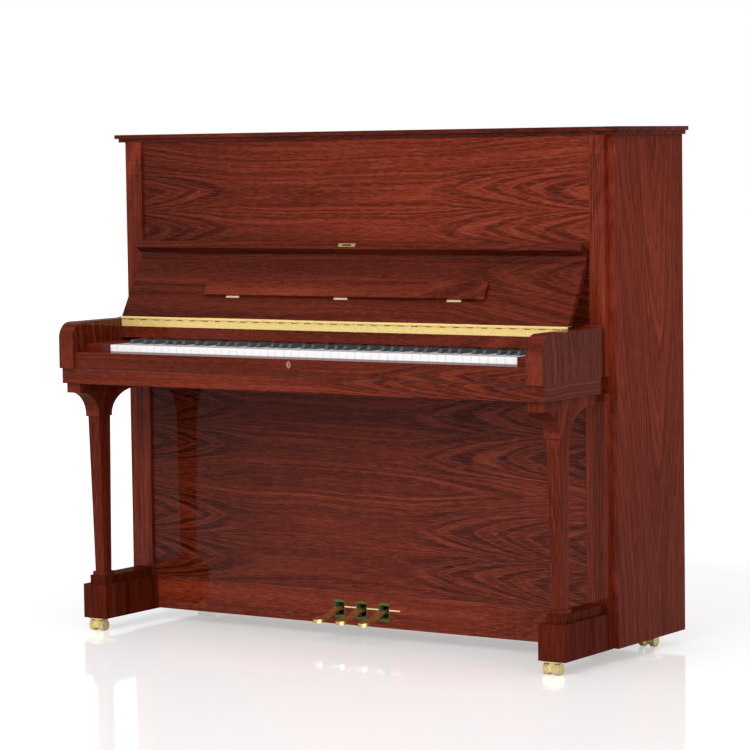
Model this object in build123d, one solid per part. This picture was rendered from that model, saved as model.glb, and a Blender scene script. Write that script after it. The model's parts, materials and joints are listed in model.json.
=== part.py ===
from build123d import *
import math
import os

# Upright piano, millimetres.  +X is the treble end, -Y faces the player, +Z is up.
# The origin is on the floor, under the middle of the whole instrument.

# ---------------------------------------------------------------- case
CASE_WIDTH = 1495.0
CASE_HEIGHT = 1280.0
CASE_DEPTH = 343.0
OVERALL_DEPTH = 661.0
FLOOR_GAP = 34.0
SIDE_THICKNESS = 38.0
PANEL_THICKNESS = 20.0
PANEL_PROUD = 8.0
JOINT_GAP = 0.5

BACK_Y = OVERALL_DEPTH / 2
FRONT_Y = -BACK_Y
CASE_FRONT_Y = BACK_Y - CASE_DEPTH
SIDE_OUTER_X = CASE_WIDTH / 2
SIDE_INNER_X = SIDE_OUTER_X - SIDE_THICKNESS
PANEL_FRONT_Y = CASE_FRONT_Y - PANEL_PROUD
PANEL_REAR_Y = PANEL_FRONT_Y + PANEL_THICKNESS

# ---------------------------------------------------------------- pilasters
PILASTER_PROUD = 16.0
UPPER_PILASTER_EDGE = 21.0
UPPER_PILASTER_WIDTH = 43.0
LOWER_PILASTER_EDGE = 19.0
LOWER_PILASTER_WIDTH = 58.5
FLUTE_RADIUS = 3.6
FLUTE_SPACING = 15.5
FLUTE_EDGE = 10.0
UPPER_FLUTE_FOOT = 218.0
FLUTE_TOP_MARGIN = 46.0
LOWER_FLUTE_FOOT = 54.0
LOWER_FLUTE_TOP_MARGIN = 30.0
PILASTER_FRONT_Y = CASE_FRONT_Y - PILASTER_PROUD
UPPER_PILASTER_OUTER_X = SIDE_OUTER_X - UPPER_PILASTER_EDGE
UPPER_PILASTER_INNER_X = UPPER_PILASTER_OUTER_X - UPPER_PILASTER_WIDTH
LOWER_PILASTER_OUTER_X = SIDE_OUTER_X - LOWER_PILASTER_EDGE
LOWER_PILASTER_INNER_X = LOWER_PILASTER_OUTER_X - LOWER_PILASTER_WIDTH
FLUTE_FIRST_X = UPPER_PILASTER_INNER_X + FLUTE_EDGE

# ---------------------------------------------------------------- lid
LID_PLATE = 10.5
LID_MOULDING = 9.5
LID_SIDE_OVERHANG = 21.0
LID_FRONT_OVERHANG = 20.0
LID_REAR_INSET = 6.5
LID_MOULDING_STEP = 8.0
LID_SPLIT_FROM_BACK = 176.0
LID_SPLIT_GAP = 0.6
LID_AXIS_RISE = 2.0
LID_TOP_Z = CASE_HEIGHT + LID_MOULDING + LID_PLATE
LID_SPLIT_Y = BACK_Y - LID_SPLIT_FROM_BACK

# ---------------------------------------------------------------- keyboard deck
UPPER_CASE_HEIGHT = 622.0
KEYBED_THICKNESS = 39.5
KEYBED_FRONT_SETBACK = 9.0
KEYBED_SIDE_INSET = 22.5
KEYBED_SHOULDER = 39.0
KEYBED_NECK_INSET = 12.0
KEYBED_BOTTOM_Z = CASE_HEIGHT - UPPER_CASE_HEIGHT
KEYBED_TOP_Z = KEYBED_BOTTOM_Z + KEYBED_THICKNESS
KEYBED_FRONT_Y = FRONT_Y + KEYBED_FRONT_SETBACK
KEYBED_SHOULDER_Y = CASE_FRONT_Y - KEYBED_SHOULDER
KEYBED_HALF_WIDTH = SIDE_OUTER_X - KEYBED_SIDE_INSET
KEYBED_NECK_HALF_WIDTH = KEYBED_HALF_WIDTH - KEYBED_NECK_INSET

ARM_SIDE_INSET = 20.5
ARM_THICKNESS = 45.0
ARM_HEIGHT = 119.0
ARM_CORNER_RADIUS = 42.0
ARM_STOP = 34.0
ARM_SWEEP_LENGTH = 60.0
ARM_SWEEP_RISE = 9.0
ARM_SWEEP_HOLLOW = 3.0
ARM_NECK_INSET = 8.0
ARM_NECK_DROP = 12.0
ARM_INNER_X = SIDE_OUTER_X - ARM_SIDE_INSET - ARM_THICKNESS
ARM_REAR_Y = CASE_FRONT_Y - ARM_STOP
ARM_TOP_Z = KEYBED_TOP_Z + ARM_HEIGHT

KEYSLIP_HEIGHT = 42.0
KEYSLIP_ROUND = 4.0
KEY_BLOCK_HEIGHT = 61.5
KEY_BLOCK_SETBACK = 57.5
KEY_BLOCK_SPACE = 58.0
KEY_FRONT_GAP = 3.5
KEY_BLOCK_FRONT_Y = FRONT_Y + KEY_BLOCK_SETBACK

# ---------------------------------------------------------------- keys
WHITE_COUNT = 52
NOTE_COUNT = 88
KEY_GAP = 1.0
WHITE_SETBACK = 83.5
WHITE_LIFT = 58.5
WHITE_HEIGHT = 23.0
WHITE_HEAD = 50.0
BLACK_WIDTH = 10.6
BLACK_TOP_WIDTH = 8.8
BLACK_RISE = 10.5
BLACK_LENGTH = 97.0
BLACK_NOSE = 9.0
KEY_DIP = 10.0
STRING_SETBACK = 122.5
HAMMER_SETBACK = 86.0
CAPSTAN_TO_PIVOT = 30.0
CAPSTAN_TO_BALANCE = 119.0
CAPSTAN_TO_REAR = 56.0
KEYBED_BEHIND_KEYS = 7.0
CAPSTAN_SIZE = 5.0
FELT_GAP = 0.35
RAIL_NARROW = 6.0
RAIL_WIDE = 26.0
STRING_Y = BACK_Y - STRING_SETBACK
HAMMER_PIVOT_Y = STRING_Y - HAMMER_SETBACK
CAPSTAN_Y = HAMMER_PIVOT_Y - CAPSTAN_TO_PIVOT
BALANCE_Y = CAPSTAN_Y - CAPSTAN_TO_BALANCE
KEY_REAR_Y = CAPSTAN_Y + CAPSTAN_TO_REAR
KEYBED_REAR_Y = KEY_REAR_Y + KEYBED_BEHIND_KEYS
WHITE_FRONT_Y = FRONT_Y + WHITE_SETBACK
WHITE_TOP_Z = KEYBED_TOP_Z + WHITE_LIFT
KEYBOARD_HALF = ARM_INNER_X - KEY_BLOCK_SPACE
WHITE_PITCH = 2 * KEYBOARD_HALF / WHITE_COUNT
WHITE_UNDER_Z = WHITE_TOP_Z - WHITE_HEIGHT
KEY_ANGLE = math.degrees(math.asin(KEY_DIP / (BALANCE_Y - WHITE_FRONT_Y)))
ACTION_END = 36.0
ACTION_HALF = KEYBOARD_HALF + ACTION_END

# ---------------------------------------------------------------- fallboard
HINGE_REACH = 116.5
HINGE_LIFT = 63.5
HINGE_RADIUS = 3.4
HINGE_PIN_RADIUS = 1.2
HINGE_PIN_CLEARANCE = 0.05
HINGE_LEAF = 1.2
HINGE_LEAF_HEIGHT = 19.0
HINGE_KNUCKLES = 5
HINGE_END_GAP = 0.3
HINGE_SWING_GAP = 0.6
HINGE_TOP_LEAF = 14.0
RAIL_CLEARANCE = 1.0
RAIL_BOARD = 18.0
FALLBOARD_END_GAP = 2.5
FALLBOARD_LEAN = 30.0
FALLBOARD_LENGTH = 211.0
FALLBOARD_THICKNESS = 14.0
LIP_THICKNESS = 20.0
LIP_REACH = 35.5
LIP_COVE = 12.0
FALLBOARD_FOOT = 4.5
LEDGE_START = 69.0
LEDGE_WIDTH = 46.0
LEDGE_THICKNESS = 9.0
LEDGE_HALF = 427.0
LEDGE_GAP = 0.35
STRIKE_WIDTH = 52.0
STRIKE_HEIGHT = 10.0
STRIKE_THICKNESS = 1.5
STRIKE_SLOT_WIDTH = 26.0
STRIKE_SLOT_HEIGHT = 4.5
LOCK_X = -3.0
LOCK_WIDTH = 12.0
LOCK_HEIGHT = 19.0
LOCK_THICKNESS = 1.5
HINGE_Y = CASE_FRONT_Y - HINGE_REACH
HINGE_Z = WHITE_TOP_Z + HINGE_LIFT
RAIL_UNDER_Z = WHITE_TOP_Z + BLACK_RISE + RAIL_CLEARANCE
FALLBOARD_HALF = ARM_INNER_X - FALLBOARD_END_GAP

# ---------------------------------------------------------------- legs, toes
LEG_SETBACK = 51.5
CAPITAL_WIDTH = 43.0
CAPITAL_BLOCK = 25.0
CAPITAL_FRONT_SETBACK = 18.0
CAPITAL_REAR_GAP = 61.5
CAPITAL_LIP = 8.0
CAPITAL_FOOT_START = 74.5
CAPITAL_FOOT_LENGTH = 55.0
CAPITAL_SCOOP = 64.0
CAPITAL_COLLAR = 4.0
COLUMN_TOP_WIDTH = 37.0
COLUMN_TOP_FRONT_STEP = 5.5
COLUMN_TOP_REAR_STEP = 4.0
COLUMN_FOOT_SIZE = 29.5
COLUMN_FOOT_SETBACK = 40.0
COLUMN_STEP = 10.0
COLUMN_STEP_OVERHANG = 5.0
TOE_WIDTH = 74.5
TOE_EDGE = 15.5
TOE_SETBACK = 85.5
TOE_TOP_Z = 122.0
TOE_STRIP_WIDTH = 49.5
TOE_STRIP_HEIGHT = 22.0
TOE_BOTTOM_Z = FLOOR_GAP - 1.0
LEG_X = SIDE_OUTER_X - LEG_SETBACK
CAPITAL_FRONT_Y = FRONT_Y + CAPITAL_FRONT_SETBACK
CAPITAL_REAR_Y = CASE_FRONT_Y - CAPITAL_REAR_GAP
CAPITAL_FOOT_FRONT_Y = CAPITAL_FRONT_Y + CAPITAL_FOOT_START
CAPITAL_FOOT_REAR_Y = CAPITAL_FOOT_FRONT_Y + CAPITAL_FOOT_LENGTH
COLUMN_TOP_FRONT_Y = CAPITAL_FOOT_FRONT_Y + COLUMN_TOP_FRONT_STEP
COLUMN_TOP_REAR_Y = CAPITAL_FOOT_REAR_Y - COLUMN_TOP_REAR_STEP
TOE_OUTER_X = SIDE_OUTER_X - TOE_EDGE
TOE_INNER_X = TOE_OUTER_X - TOE_WIDTH
TOE_FRONT_Y = FRONT_Y + TOE_SETBACK
COLUMN_FOOT_Y = TOE_FRONT_Y + COLUMN_FOOT_SETBACK

# ---------------------------------------------------------------- casters
WHEEL_RADIUS = 14.5
ROLLER_WIDTH = 14.0
CASTER_WIDTH = 44.0
AXLE_RADIUS = 4.0
AXLE_CLEARANCE = 0.06
CASTER_PLATE = 2.5
CASTER_WEB = 15.0
CASTER_PLATE_LENGTH = 62.0
CASTER_TRAIL = 16.0
CASTER_WEB_GAP = 0.5
FRONT_AXLE_SETBACK = 13.0
REAR_AXLE_SETBACK = 90.5
CASTER_INSET = 4.0
FRONT_AXLE_Y = TOE_FRONT_Y + FRONT_AXLE_SETBACK
REAR_AXLE_Y = BACK_Y - REAR_AXLE_SETBACK
CASTER_X = LEG_X - CASTER_INSET

# ---------------------------------------------------------------- plinth and pedals
PLINTH_TOP_Z = TOE_TOP_Z
BOTTOM_BOARD_THICKNESS = 20.0
BOTTOM_BOARD_SETBACK = 85.5
PEDAL_PITCH = 69.0
PEDAL_REACH = 108.5
PEDAL_TIP_WIDTH = 31.0
PEDAL_TIP_LENGTH = 50.0
PEDAL_NECK_LENGTH = 42.0
PEDAL_NECK_WIDTH = 15.0
PEDAL_THICKNESS = 9.0
PEDAL_TIP_Z = 51.0
PEDAL_TOE_RISE = 6.0
PEDAL_HEEL_Z = 71.0
PEDAL_SLOT_WIDTH = 33.0
PEDAL_SLOT_BOTTOM_Z = 52.0
PEDAL_SLOT_TOP_Z = 95.0
BUSHING_WALL = 2.5
PEDAL_SHAFT_RADIUS = 6.0
PEDAL_SHAFT_Z = 80.0
SHAFT_CLEARANCE = 0.06
BEARING_WIDTH = 16.0
BEARING_DEPTH = 26.0
BEARING_OFFSET = 40.0
PEDAL_ARM_WIDTH = 12.0
ROD_RADIUS = 6.0
ROD_GAP = 0.3
ROD_HOLE_RADIUS = 9.0
ROD_BESIDE_KEYS = 16.0
ROD_SPACING = 35.0
SOFT_ROD_TO_HAMMER = 37.0
SUSTAIN_ROD_TO_DAMPER = 22.6
MUTE_ROD_BEHIND_PANEL = 30.5
SOFT_ARM_LENGTH = 25.0
SUSTAIN_ARM_LENGTH = 30.0
MUTE_ARM_LENGTH = 152.0
DAMPER_SETBACK = 35.6
DAMPER_PIVOT_Y = STRING_Y - DAMPER_SETBACK
BOTTOM_BOARD_REAR_Y = BACK_Y - BOTTOM_BOARD_SETBACK
PEDAL_TIP_Y = PANEL_FRONT_Y - PEDAL_REACH
SOFT_ROD_X = -KEYBOARD_HALF - ROD_BESIDE_KEYS
SUSTAIN_ROD_X = KEYBOARD_HALF + ROD_BESIDE_KEYS
MUTE_ROD_X = SOFT_ROD_X - ROD_SPACING
SOFT_ROD_Y = HAMMER_PIVOT_Y - SOFT_ROD_TO_HAMMER
SUSTAIN_ROD_Y = DAMPER_PIVOT_Y + SUSTAIN_ROD_TO_DAMPER
MUTE_ROD_Y = PANEL_REAR_Y + MUTE_ROD_BEHIND_PANEL
LEFT_PIVOT_Y = SOFT_ROD_Y - SOFT_ARM_LENGTH
RIGHT_PIVOT_Y = SUSTAIN_ROD_Y - SUSTAIN_ARM_LENGTH
MIDDLE_PIVOT_Y = MUTE_ROD_Y + MUTE_ARM_LENGTH

# ---------------------------------------------------------------- action
HAMMER_PIVOT_LIFT = 102.0
SHANK_LENGTH = 130.0
HAMMER_REACH = 58.0
HAMMER_WIDTH = 9.0
LET_OFF_LEAN = 10.0
KEY_BLOW = 17.0
SOFT_BLOW = 4.0
HAMMER_RAIL_HEIGHT = 84.0
HAMMER_RAIL_WIDTH = 26.0
HAMMER_RAIL_THICKNESS = 12.0
WIPPEN_SETBACK = 48.0
WIPPEN_PIVOT_DROP = 51.0
WIPPEN_DEPTH = 16.0
WIPPEN_WIDTH = 9.0
SPOON_RISE = 15.0
SPOON_THICKNESS = 3.0
JACK_GAP = 1.5
DAMPER_PIVOT_DROP = 20.0
DAMPER_NOTES = 66
DAMPER_WIDTH = 8.0
DAMPER_TAIL = 52.0
DAMPER_HEAD_LIFT = 72.0
DAMPER_HEAD_HEIGHT = 50.0
DAMPER_HEAD_DEPTH = 10.0
ACTION_RAIL_FRONT = 3.0
ACTION_RAIL_DROP = 4.4
BRACKET_THICKNESS = 12.0
MUTE_FELT_SETBACK = 4.9
MUTE_FELT_THICKNESS = 1.4
MUTE_FELT_CLEARANCE = 4.5
MUTE_FELT_DROP = 44.0
MUTE_RAIL_WIDTH = 16.0
MUTE_RAIL_HEIGHT = 14.0
HAMMER_PIVOT_Z = WHITE_TOP_Z + HAMMER_PIVOT_LIFT
WIPPEN_PIVOT_Y = STRING_Y - WIPPEN_SETBACK
WIPPEN_PIVOT_Z = HAMMER_PIVOT_Z - WIPPEN_PIVOT_DROP
WIPPEN_UNDER_Z = WIPPEN_PIVOT_Z - WIPPEN_DEPTH
SPOON_TOP_Z = WIPPEN_PIVOT_Z + SPOON_RISE
JACK_TOP_Z = HAMMER_PIVOT_Z - JACK_GAP
DAMPER_PIVOT_Z = HAMMER_PIVOT_Z - DAMPER_PIVOT_DROP
DAMPER_HEAD_Z = DAMPER_PIVOT_Z + DAMPER_HEAD_LIFT
ACTION_RAIL_FRONT_Y = HAMMER_PIVOT_Y - ACTION_RAIL_FRONT
ACTION_RAIL_TOP_Z = HAMMER_PIVOT_Z - ACTION_RAIL_DROP
MUTE_FELT_Y = STRING_Y - MUTE_FELT_SETBACK
MUTE_FELT_FOOT_Z = HAMMER_PIVOT_Z + SHANK_LENGTH + MUTE_FELT_CLEARANCE

# ---------------------------------------------------------------- back, plate, strings
POST_DEPTH = 75.0
POST_WIDTH = 62.0
POST_COUNT = 5
TOP_BEAM_HEIGHT = 120.0
BOTTOM_BEAM_HEIGHT = 90.0
SOUNDBOARD_THICKNESS = 8.0
RIB_HEIGHT = 14.0
RIB_WIDTH = 22.0
RIB_COUNT = 9
RIB_SLOPE = 28.0
RIB_SPACING = 150.0
RIB_LENGTH = 2200.0
RIB_MARGIN = 20.0
BOARD_MARGIN = 4.0
PLATE_THICKNESS = 12.0
PLATE_SIDE_GAP = 14.5
PLATE_FOOT = 100.0
PLATE_CORNER_RISE = 90.0
PLATE_CORNER_RUN = 160.0
PLATE_TOP_GAP = 10.0
PLATE_BEHIND_STRINGS = 4.0
APRON_HEIGHT = 110.0
APRON_CHAMFER = 30.0
STRING_SIZE = 1.4
BASS_NOTES = 30
BASS_LEAN = 6.0
BASS_TOP_SET = 1.5
BASS_SLANT = 0.40
BREAK_SLANT = 0.08
TENOR_SLANT = -0.10
TENOR_FOOT_LIFT = 175.0
SHORTEST_STRING = 52.0
STRING_GROWTH = 1.86
TREBLE_TOP_LIFT = 182.0
BASS_TOP_RISE = 108.0
BASS_FOOT_RISE = 40.0
STRING_FOOT_LIFT = 74.0
BRIDGE_GAP = 0.3
BRIDGE_WIDTH = 30.0
BRIDGE_ABOVE_FOOT = 22.0
BRIDGE_END = 6.0
BREAK_NOTES = 18
BREAK_STRUT_SHIFT = 4.0
TREBLE_BREAK_NOTES = 58
TREBLE_STRUT_SHIFT = 8.0
STRUT_HALF = 15.0
TUNING_PIN_SIZE = 5.0
TUNING_PIN_LENGTH = 26.0
TUNING_PIN_LIFT = 24.0
TUNING_PIN_ROW = 20.0
POST_FRONT_Y = BACK_Y - POST_DEPTH
SOUNDBOARD_REAR_Y = POST_FRONT_Y - RIB_HEIGHT
SOUNDBOARD_FRONT_Y = SOUNDBOARD_REAR_Y - SOUNDBOARD_THICKNESS
PLATE_FRONT_Y = STRING_Y + PLATE_BEHIND_STRINGS
PLATE_REAR_Y = PLATE_FRONT_Y + PLATE_THICKNESS
PLATE_HALF = SIDE_INNER_X - PLATE_SIDE_GAP
BOTTOM_BOARD_TOP_Z = FLOOR_GAP + BOTTOM_BOARD_THICKNESS
APRON_Z = FLOOR_GAP + PLATE_FOOT + APRON_HEIGHT
STRING_FOOT_Z = APRON_Z + STRING_FOOT_LIFT
TREBLE_TOP_Z = HAMMER_PIVOT_Z + TREBLE_TOP_LIFT
BASS_TOP_Z = TREBLE_TOP_Z + BASS_TOP_RISE
LONGEST_TENOR = BASS_TOP_Z - STRING_FOOT_Z - TENOR_FOOT_LIFT

BLACK_STEPS = (1, 3, 6, 8, 10)


def block(x0, x1, y0, y1, z0, z1):
    """A box between two corners."""
    return Pos((x0 + x1) / 2, (y0 + y1) / 2, (z0 + z1) / 2) * Box(x1 - x0, y1 - y0, z1 - z0)


def side_profile(points, x0, x1):
    """A straight-sided outline in the YZ plane, carried from x0 to x1."""
    face = make_face(Polyline(*points, close=True))
    return extrude(Plane.YZ.offset(x0) * face, x1 - x0)


def plan_profile(points, z0, z1):
    """A straight-sided outline seen from above, carried from z0 to z1."""
    face = make_face(Polyline(*points, close=True))
    return extrude(Plane.XY.offset(z0) * face, z1 - z0)


def front_profile(points, y0, y1):
    """A straight-sided outline seen from the front, carried from y0 back to y1."""
    face = make_face(Polyline(*points, close=True))
    return extrude(Plane(origin=(0, y1, 0), x_dir=(1, 0, 0), z_dir=(0, -1, 0)) * face, y1 - y0)


def bar_x(radius, x0, x1, y, z):
    """A round bar along X."""
    return Pos((x0 + x1) / 2, y, z) * Rot(0, 90, 0) * Cylinder(radius, x1 - x0)


def post_z(radius, x, y, z0, z1):
    """A round bar along Z."""
    return Pos(x, y, (z0 + z1) / 2) * Cylinder(radius, z1 - z0)


def mirrored(shape):
    """The same piece at the bass end."""
    return mirror(shape, about=Plane.YZ)


def turned(shape, y, z, degrees):
    """The shape turned about an X axis through (y, z)."""
    return Pos(0, y, z) * Rot(degrees, 0, 0) * Pos(0, -y, -z) * shape


# ---------------------------------------------------------------- notes
def is_black(note):
    """Note 1 is the lowest A."""
    return (note + 8) % 12 in BLACK_STEPS


def white_index(note):
    """How many white keys lie below this note."""
    return sum(1 for lower in range(1, note) if not is_black(lower))


def black_center(note):
    """Middle of a black key: its group of white keys is shared out in equal lanes."""
    step = (note + 8) % 12
    if step < 5:
        group_start = white_index(note) - (step + 1) // 2
        lane = 3 * WHITE_PITCH / 5
        within = step
    else:
        group_start = white_index(note) - (step - 4) // 2
        lane = 4 * WHITE_PITCH / 7
        within = step - 5
    return -KEYBOARD_HALF + group_start * WHITE_PITCH + (within + 0.5) * lane


def white_edges(note):
    """Left and right edge of a white key's head."""
    left = -KEYBOARD_HALF + white_index(note) * WHITE_PITCH + KEY_GAP / 2
    return left, left + WHITE_PITCH - KEY_GAP


def tail_edges(note):
    """Left and right edge of a white key's tail, clear of the black keys beside it."""
    left, right = white_edges(note)
    if note > 1 and is_black(note - 1):
        left = black_center(note - 1) + BLACK_WIDTH / 2 + KEY_GAP
    if note < NOTE_COUNT and is_black(note + 1):
        right = black_center(note + 1) - BLACK_WIDTH / 2 - KEY_GAP
    return left, right


def note_x(note):
    """Middle of the stick that plays this note."""
    if is_black(note):
        return black_center(note)
    left, right = tail_edges(note)
    return (left + right) / 2


def strike_z():
    """Height at which a hammer meets its string."""
    return HAMMER_PIVOT_Z + SHANK_LENGTH * math.cos(math.radians(LET_OFF_LEAN))


def string_ends(note):
    """Top and foot of a string through its strike point: bass strings cross in front."""
    share = (note - 1) / (NOTE_COUNT - 1)
    top_z = TREBLE_TOP_Z + (BASS_TOP_Z - TREBLE_TOP_Z) * (1 - share) ** 1.3
    if note <= BASS_NOTES:
        along = (note - 1) / (BASS_NOTES - 1)
        slant = BASS_SLANT + (BREAK_SLANT - BASS_SLANT) * along
        foot_z = STRING_FOOT_Z + BASS_FOOT_RISE * along
        top_y = STRING_Y - BASS_TOP_SET
        foot_y = STRING_Y - BASS_LEAN
    else:
        slant = TENOR_SLANT
        octaves = (NOTE_COUNT - note) / 12.0
        foot_z = top_z - min(SHORTEST_STRING * STRING_GROWTH ** octaves, LONGEST_TENOR) - BRIDGE_ABOVE_FOOT
        top_y = STRING_Y
        foot_y = STRING_Y
    x = note_x(note)
    top = (x - slant * (top_z - strike_z()), top_y, top_z)
    foot = (x + slant * (strike_z() - foot_z), foot_y, foot_z)
    return top, foot


def string_y_at(note, z):
    """How far back the string lies at a height."""
    top, foot = string_ends(note)
    return top[1] + (foot[1] - top[1]) * (top[2] - z) / (top[2] - foot[2])


# ---------------------------------------------------------------- case pieces
def make_side():
    return block(SIDE_INNER_X, SIDE_OUTER_X, CASE_FRONT_Y, BACK_Y, FLOOR_GAP, CASE_HEIGHT)


def flutes(z0, z1):
    """Two stopped flutes in a pilaster's face."""
    cut = None
    for index in range(2):
        x = FLUTE_FIRST_X + index * FLUTE_SPACING
        flute = post_z(FLUTE_RADIUS, x, PILASTER_FRONT_Y, z0, z1)
        cut = flute if cut is None else cut + flute
    return cut


def make_pilaster():
    upper = block(UPPER_PILASTER_INNER_X, UPPER_PILASTER_OUTER_X,
                  PILASTER_FRONT_Y, CASE_FRONT_Y, KEYBED_TOP_Z, CASE_HEIGHT)
    upper -= flutes(KEYBED_TOP_Z + UPPER_FLUTE_FOOT, CASE_HEIGHT - FLUTE_TOP_MARGIN)
    lower = block(LOWER_PILASTER_INNER_X, LOWER_PILASTER_OUTER_X,
                  PILASTER_FRONT_Y, CASE_FRONT_Y, TOE_TOP_Z, KEYBED_BOTTOM_Z)
    lower -= flutes(TOE_TOP_Z + LOWER_FLUTE_FOOT, KEYBED_BOTTOM_Z - LOWER_FLUTE_TOP_MARGIN)
    return Compound(children=[upper, lower])


def make_lid_board(y0, y1, step_front, step_rear):
    """A lid board whose free edges step in below the top plate."""
    half = SIDE_OUTER_X + LID_SIDE_OVERHANG
    plate = block(-half, half, y0, y1, CASE_HEIGHT + LID_MOULDING, LID_TOP_Z)
    inner = half - LID_MOULDING_STEP
    moulding = block(-inner, inner, y0 + step_front, y1 - step_rear,
                     CASE_HEIGHT, CASE_HEIGHT + LID_MOULDING)
    return plate + moulding


def make_front_lid():
    return make_lid_board(CASE_FRONT_Y - LID_FRONT_OVERHANG, LID_SPLIT_Y - LID_SPLIT_GAP / 2,
                          LID_MOULDING_STEP, 0)


def make_rear_lid():
    return make_lid_board(LID_SPLIT_Y + LID_SPLIT_GAP / 2, BACK_Y - LID_REAR_INSET, 0, 0)


def make_upper_panel():
    half = UPPER_PILASTER_INNER_X - JOINT_GAP
    return block(-half, half, PANEL_FRONT_Y, PANEL_REAR_Y, HINGE_Z - HINGE_RADIUS, CASE_HEIGHT)


def make_lower_panel():
    half = LOWER_PILASTER_INNER_X - JOINT_GAP
    return block(-half, half, PANEL_FRONT_Y, PANEL_REAR_Y, PLINTH_TOP_Z + JOINT_GAP, KEYBED_BOTTOM_Z)


def pedal_x(index):
    """Middle of a pedal: -1 left, 0 middle, 1 right."""
    return index * PEDAL_PITCH


def make_plinth_rail():
    half = TOE_INNER_X
    rail = block(-half, half, PANEL_FRONT_Y, PANEL_REAR_Y, FLOOR_GAP, PLINTH_TOP_Z)
    for index in (-1, 0, 1):
        x = pedal_x(index)
        rail -= block(x - PEDAL_SLOT_WIDTH / 2, x + PEDAL_SLOT_WIDTH / 2,
                      PANEL_FRONT_Y, PANEL_REAR_Y, PEDAL_SLOT_BOTTOM_Z, PEDAL_SLOT_TOP_Z)
    return rail


def make_pedal_bushings():
    """Felt linings that frame the three pedal slots."""
    rings = []
    for index in (-1, 0, 1):
        x = pedal_x(index)
        half = PEDAL_SLOT_WIDTH / 2
        ring = block(x - half, x + half, PANEL_FRONT_Y, PANEL_REAR_Y,
                     PEDAL_SLOT_BOTTOM_Z, PEDAL_SLOT_TOP_Z)
        half -= BUSHING_WALL
        ring -= block(x - half, x + half, PANEL_FRONT_Y, PANEL_REAR_Y,
                      PEDAL_SLOT_BOTTOM_Z + BUSHING_WALL, PEDAL_SLOT_TOP_Z - BUSHING_WALL)
        rings.append(ring)
    return Compound(children=rings)


def make_bottom_board():
    return block(-SIDE_INNER_X, SIDE_INNER_X, PANEL_REAR_Y, BOTTOM_BOARD_REAR_Y,
                 FLOOR_GAP, BOTTOM_BOARD_TOP_Z)


# ---------------------------------------------------------------- keyboard deck
def make_keybed():
    """The deck: full width under the arms, narrower where it enters the case."""
    right = [(KEYBED_HALF_WIDTH, KEYBED_FRONT_Y), (KEYBED_HALF_WIDTH, KEYBED_SHOULDER_Y),
             (KEYBED_NECK_HALF_WIDTH, KEYBED_SHOULDER_Y), (KEYBED_NECK_HALF_WIDTH, CASE_FRONT_Y),
             (SIDE_INNER_X, CASE_FRONT_Y), (SIDE_INNER_X, KEYBED_REAR_Y)]
    left = [(-x, y) for x, y in reversed(right)]
    deck = plan_profile(right + left, KEYBED_BOTTOM_Z, KEYBED_TOP_Z)
    for x, y in ((SOFT_ROD_X, SOFT_ROD_Y), (MUTE_ROD_X, MUTE_ROD_Y)):
        deck -= post_z(ROD_HOLE_RADIUS, x, y, KEYBED_BOTTOM_Z, KEYBED_TOP_Z)
    return deck


def make_arm():
    """Arm with a rounded front corner and a short upward sweep at the case."""
    z0 = KEYBED_TOP_Z
    outline = [
        Line((ARM_REAR_Y, z0), (FRONT_Y, z0)),
        Line((FRONT_Y, z0), (FRONT_Y, ARM_TOP_Z - ARM_CORNER_RADIUS)),
        CenterArc((FRONT_Y + ARM_CORNER_RADIUS, ARM_TOP_Z - ARM_CORNER_RADIUS),
                  ARM_CORNER_RADIUS, 90, 90),
        Line((FRONT_Y + ARM_CORNER_RADIUS, ARM_TOP_Z), (ARM_REAR_Y - ARM_SWEEP_LENGTH, ARM_TOP_Z)),
        SagittaArc((ARM_REAR_Y - ARM_SWEEP_LENGTH, ARM_TOP_Z),
                   (ARM_REAR_Y, ARM_TOP_Z + ARM_SWEEP_RISE), -ARM_SWEEP_HOLLOW),
        Line((ARM_REAR_Y, ARM_TOP_Z + ARM_SWEEP_RISE), (ARM_REAR_Y, z0)),
    ]
    body = extrude(Plane.YZ.offset(ARM_INNER_X) * make_face(outline), ARM_THICKNESS)
    neck = block(UPPER_PILASTER_INNER_X + ARM_NECK_INSET, ARM_INNER_X + ARM_THICKNESS - ARM_NECK_INSET,
                 ARM_REAR_Y, PILASTER_FRONT_Y, z0, ARM_TOP_Z - ARM_NECK_DROP)
    return body + neck


def make_keyslip():
    """Rail before the keys, deeper between the key blocks."""
    half = ARM_INNER_X - JOINT_GAP
    mid = KEYBOARD_HALF + JOINT_GAP
    rear = WHITE_FRONT_Y - KEY_FRONT_GAP
    outline = [(-half, KEYBED_FRONT_Y), (half, KEYBED_FRONT_Y), (half, KEY_BLOCK_FRONT_Y - JOINT_GAP),
               (mid, KEY_BLOCK_FRONT_Y - JOINT_GAP), (mid, rear), (-mid, rear),
               (-mid, KEY_BLOCK_FRONT_Y - JOINT_GAP), (-half, KEY_BLOCK_FRONT_Y - JOINT_GAP)]
    rail = plan_profile(outline, KEYBED_TOP_Z, KEYBED_TOP_Z + KEYSLIP_HEIGHT)
    front_edges = rail.edges().filter_by(Axis.X).group_by(Axis.Y)[0].sort_by(Axis.Z)[-1]
    rail = fillet(front_edges, KEYSLIP_ROUND)
    return rail


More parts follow.
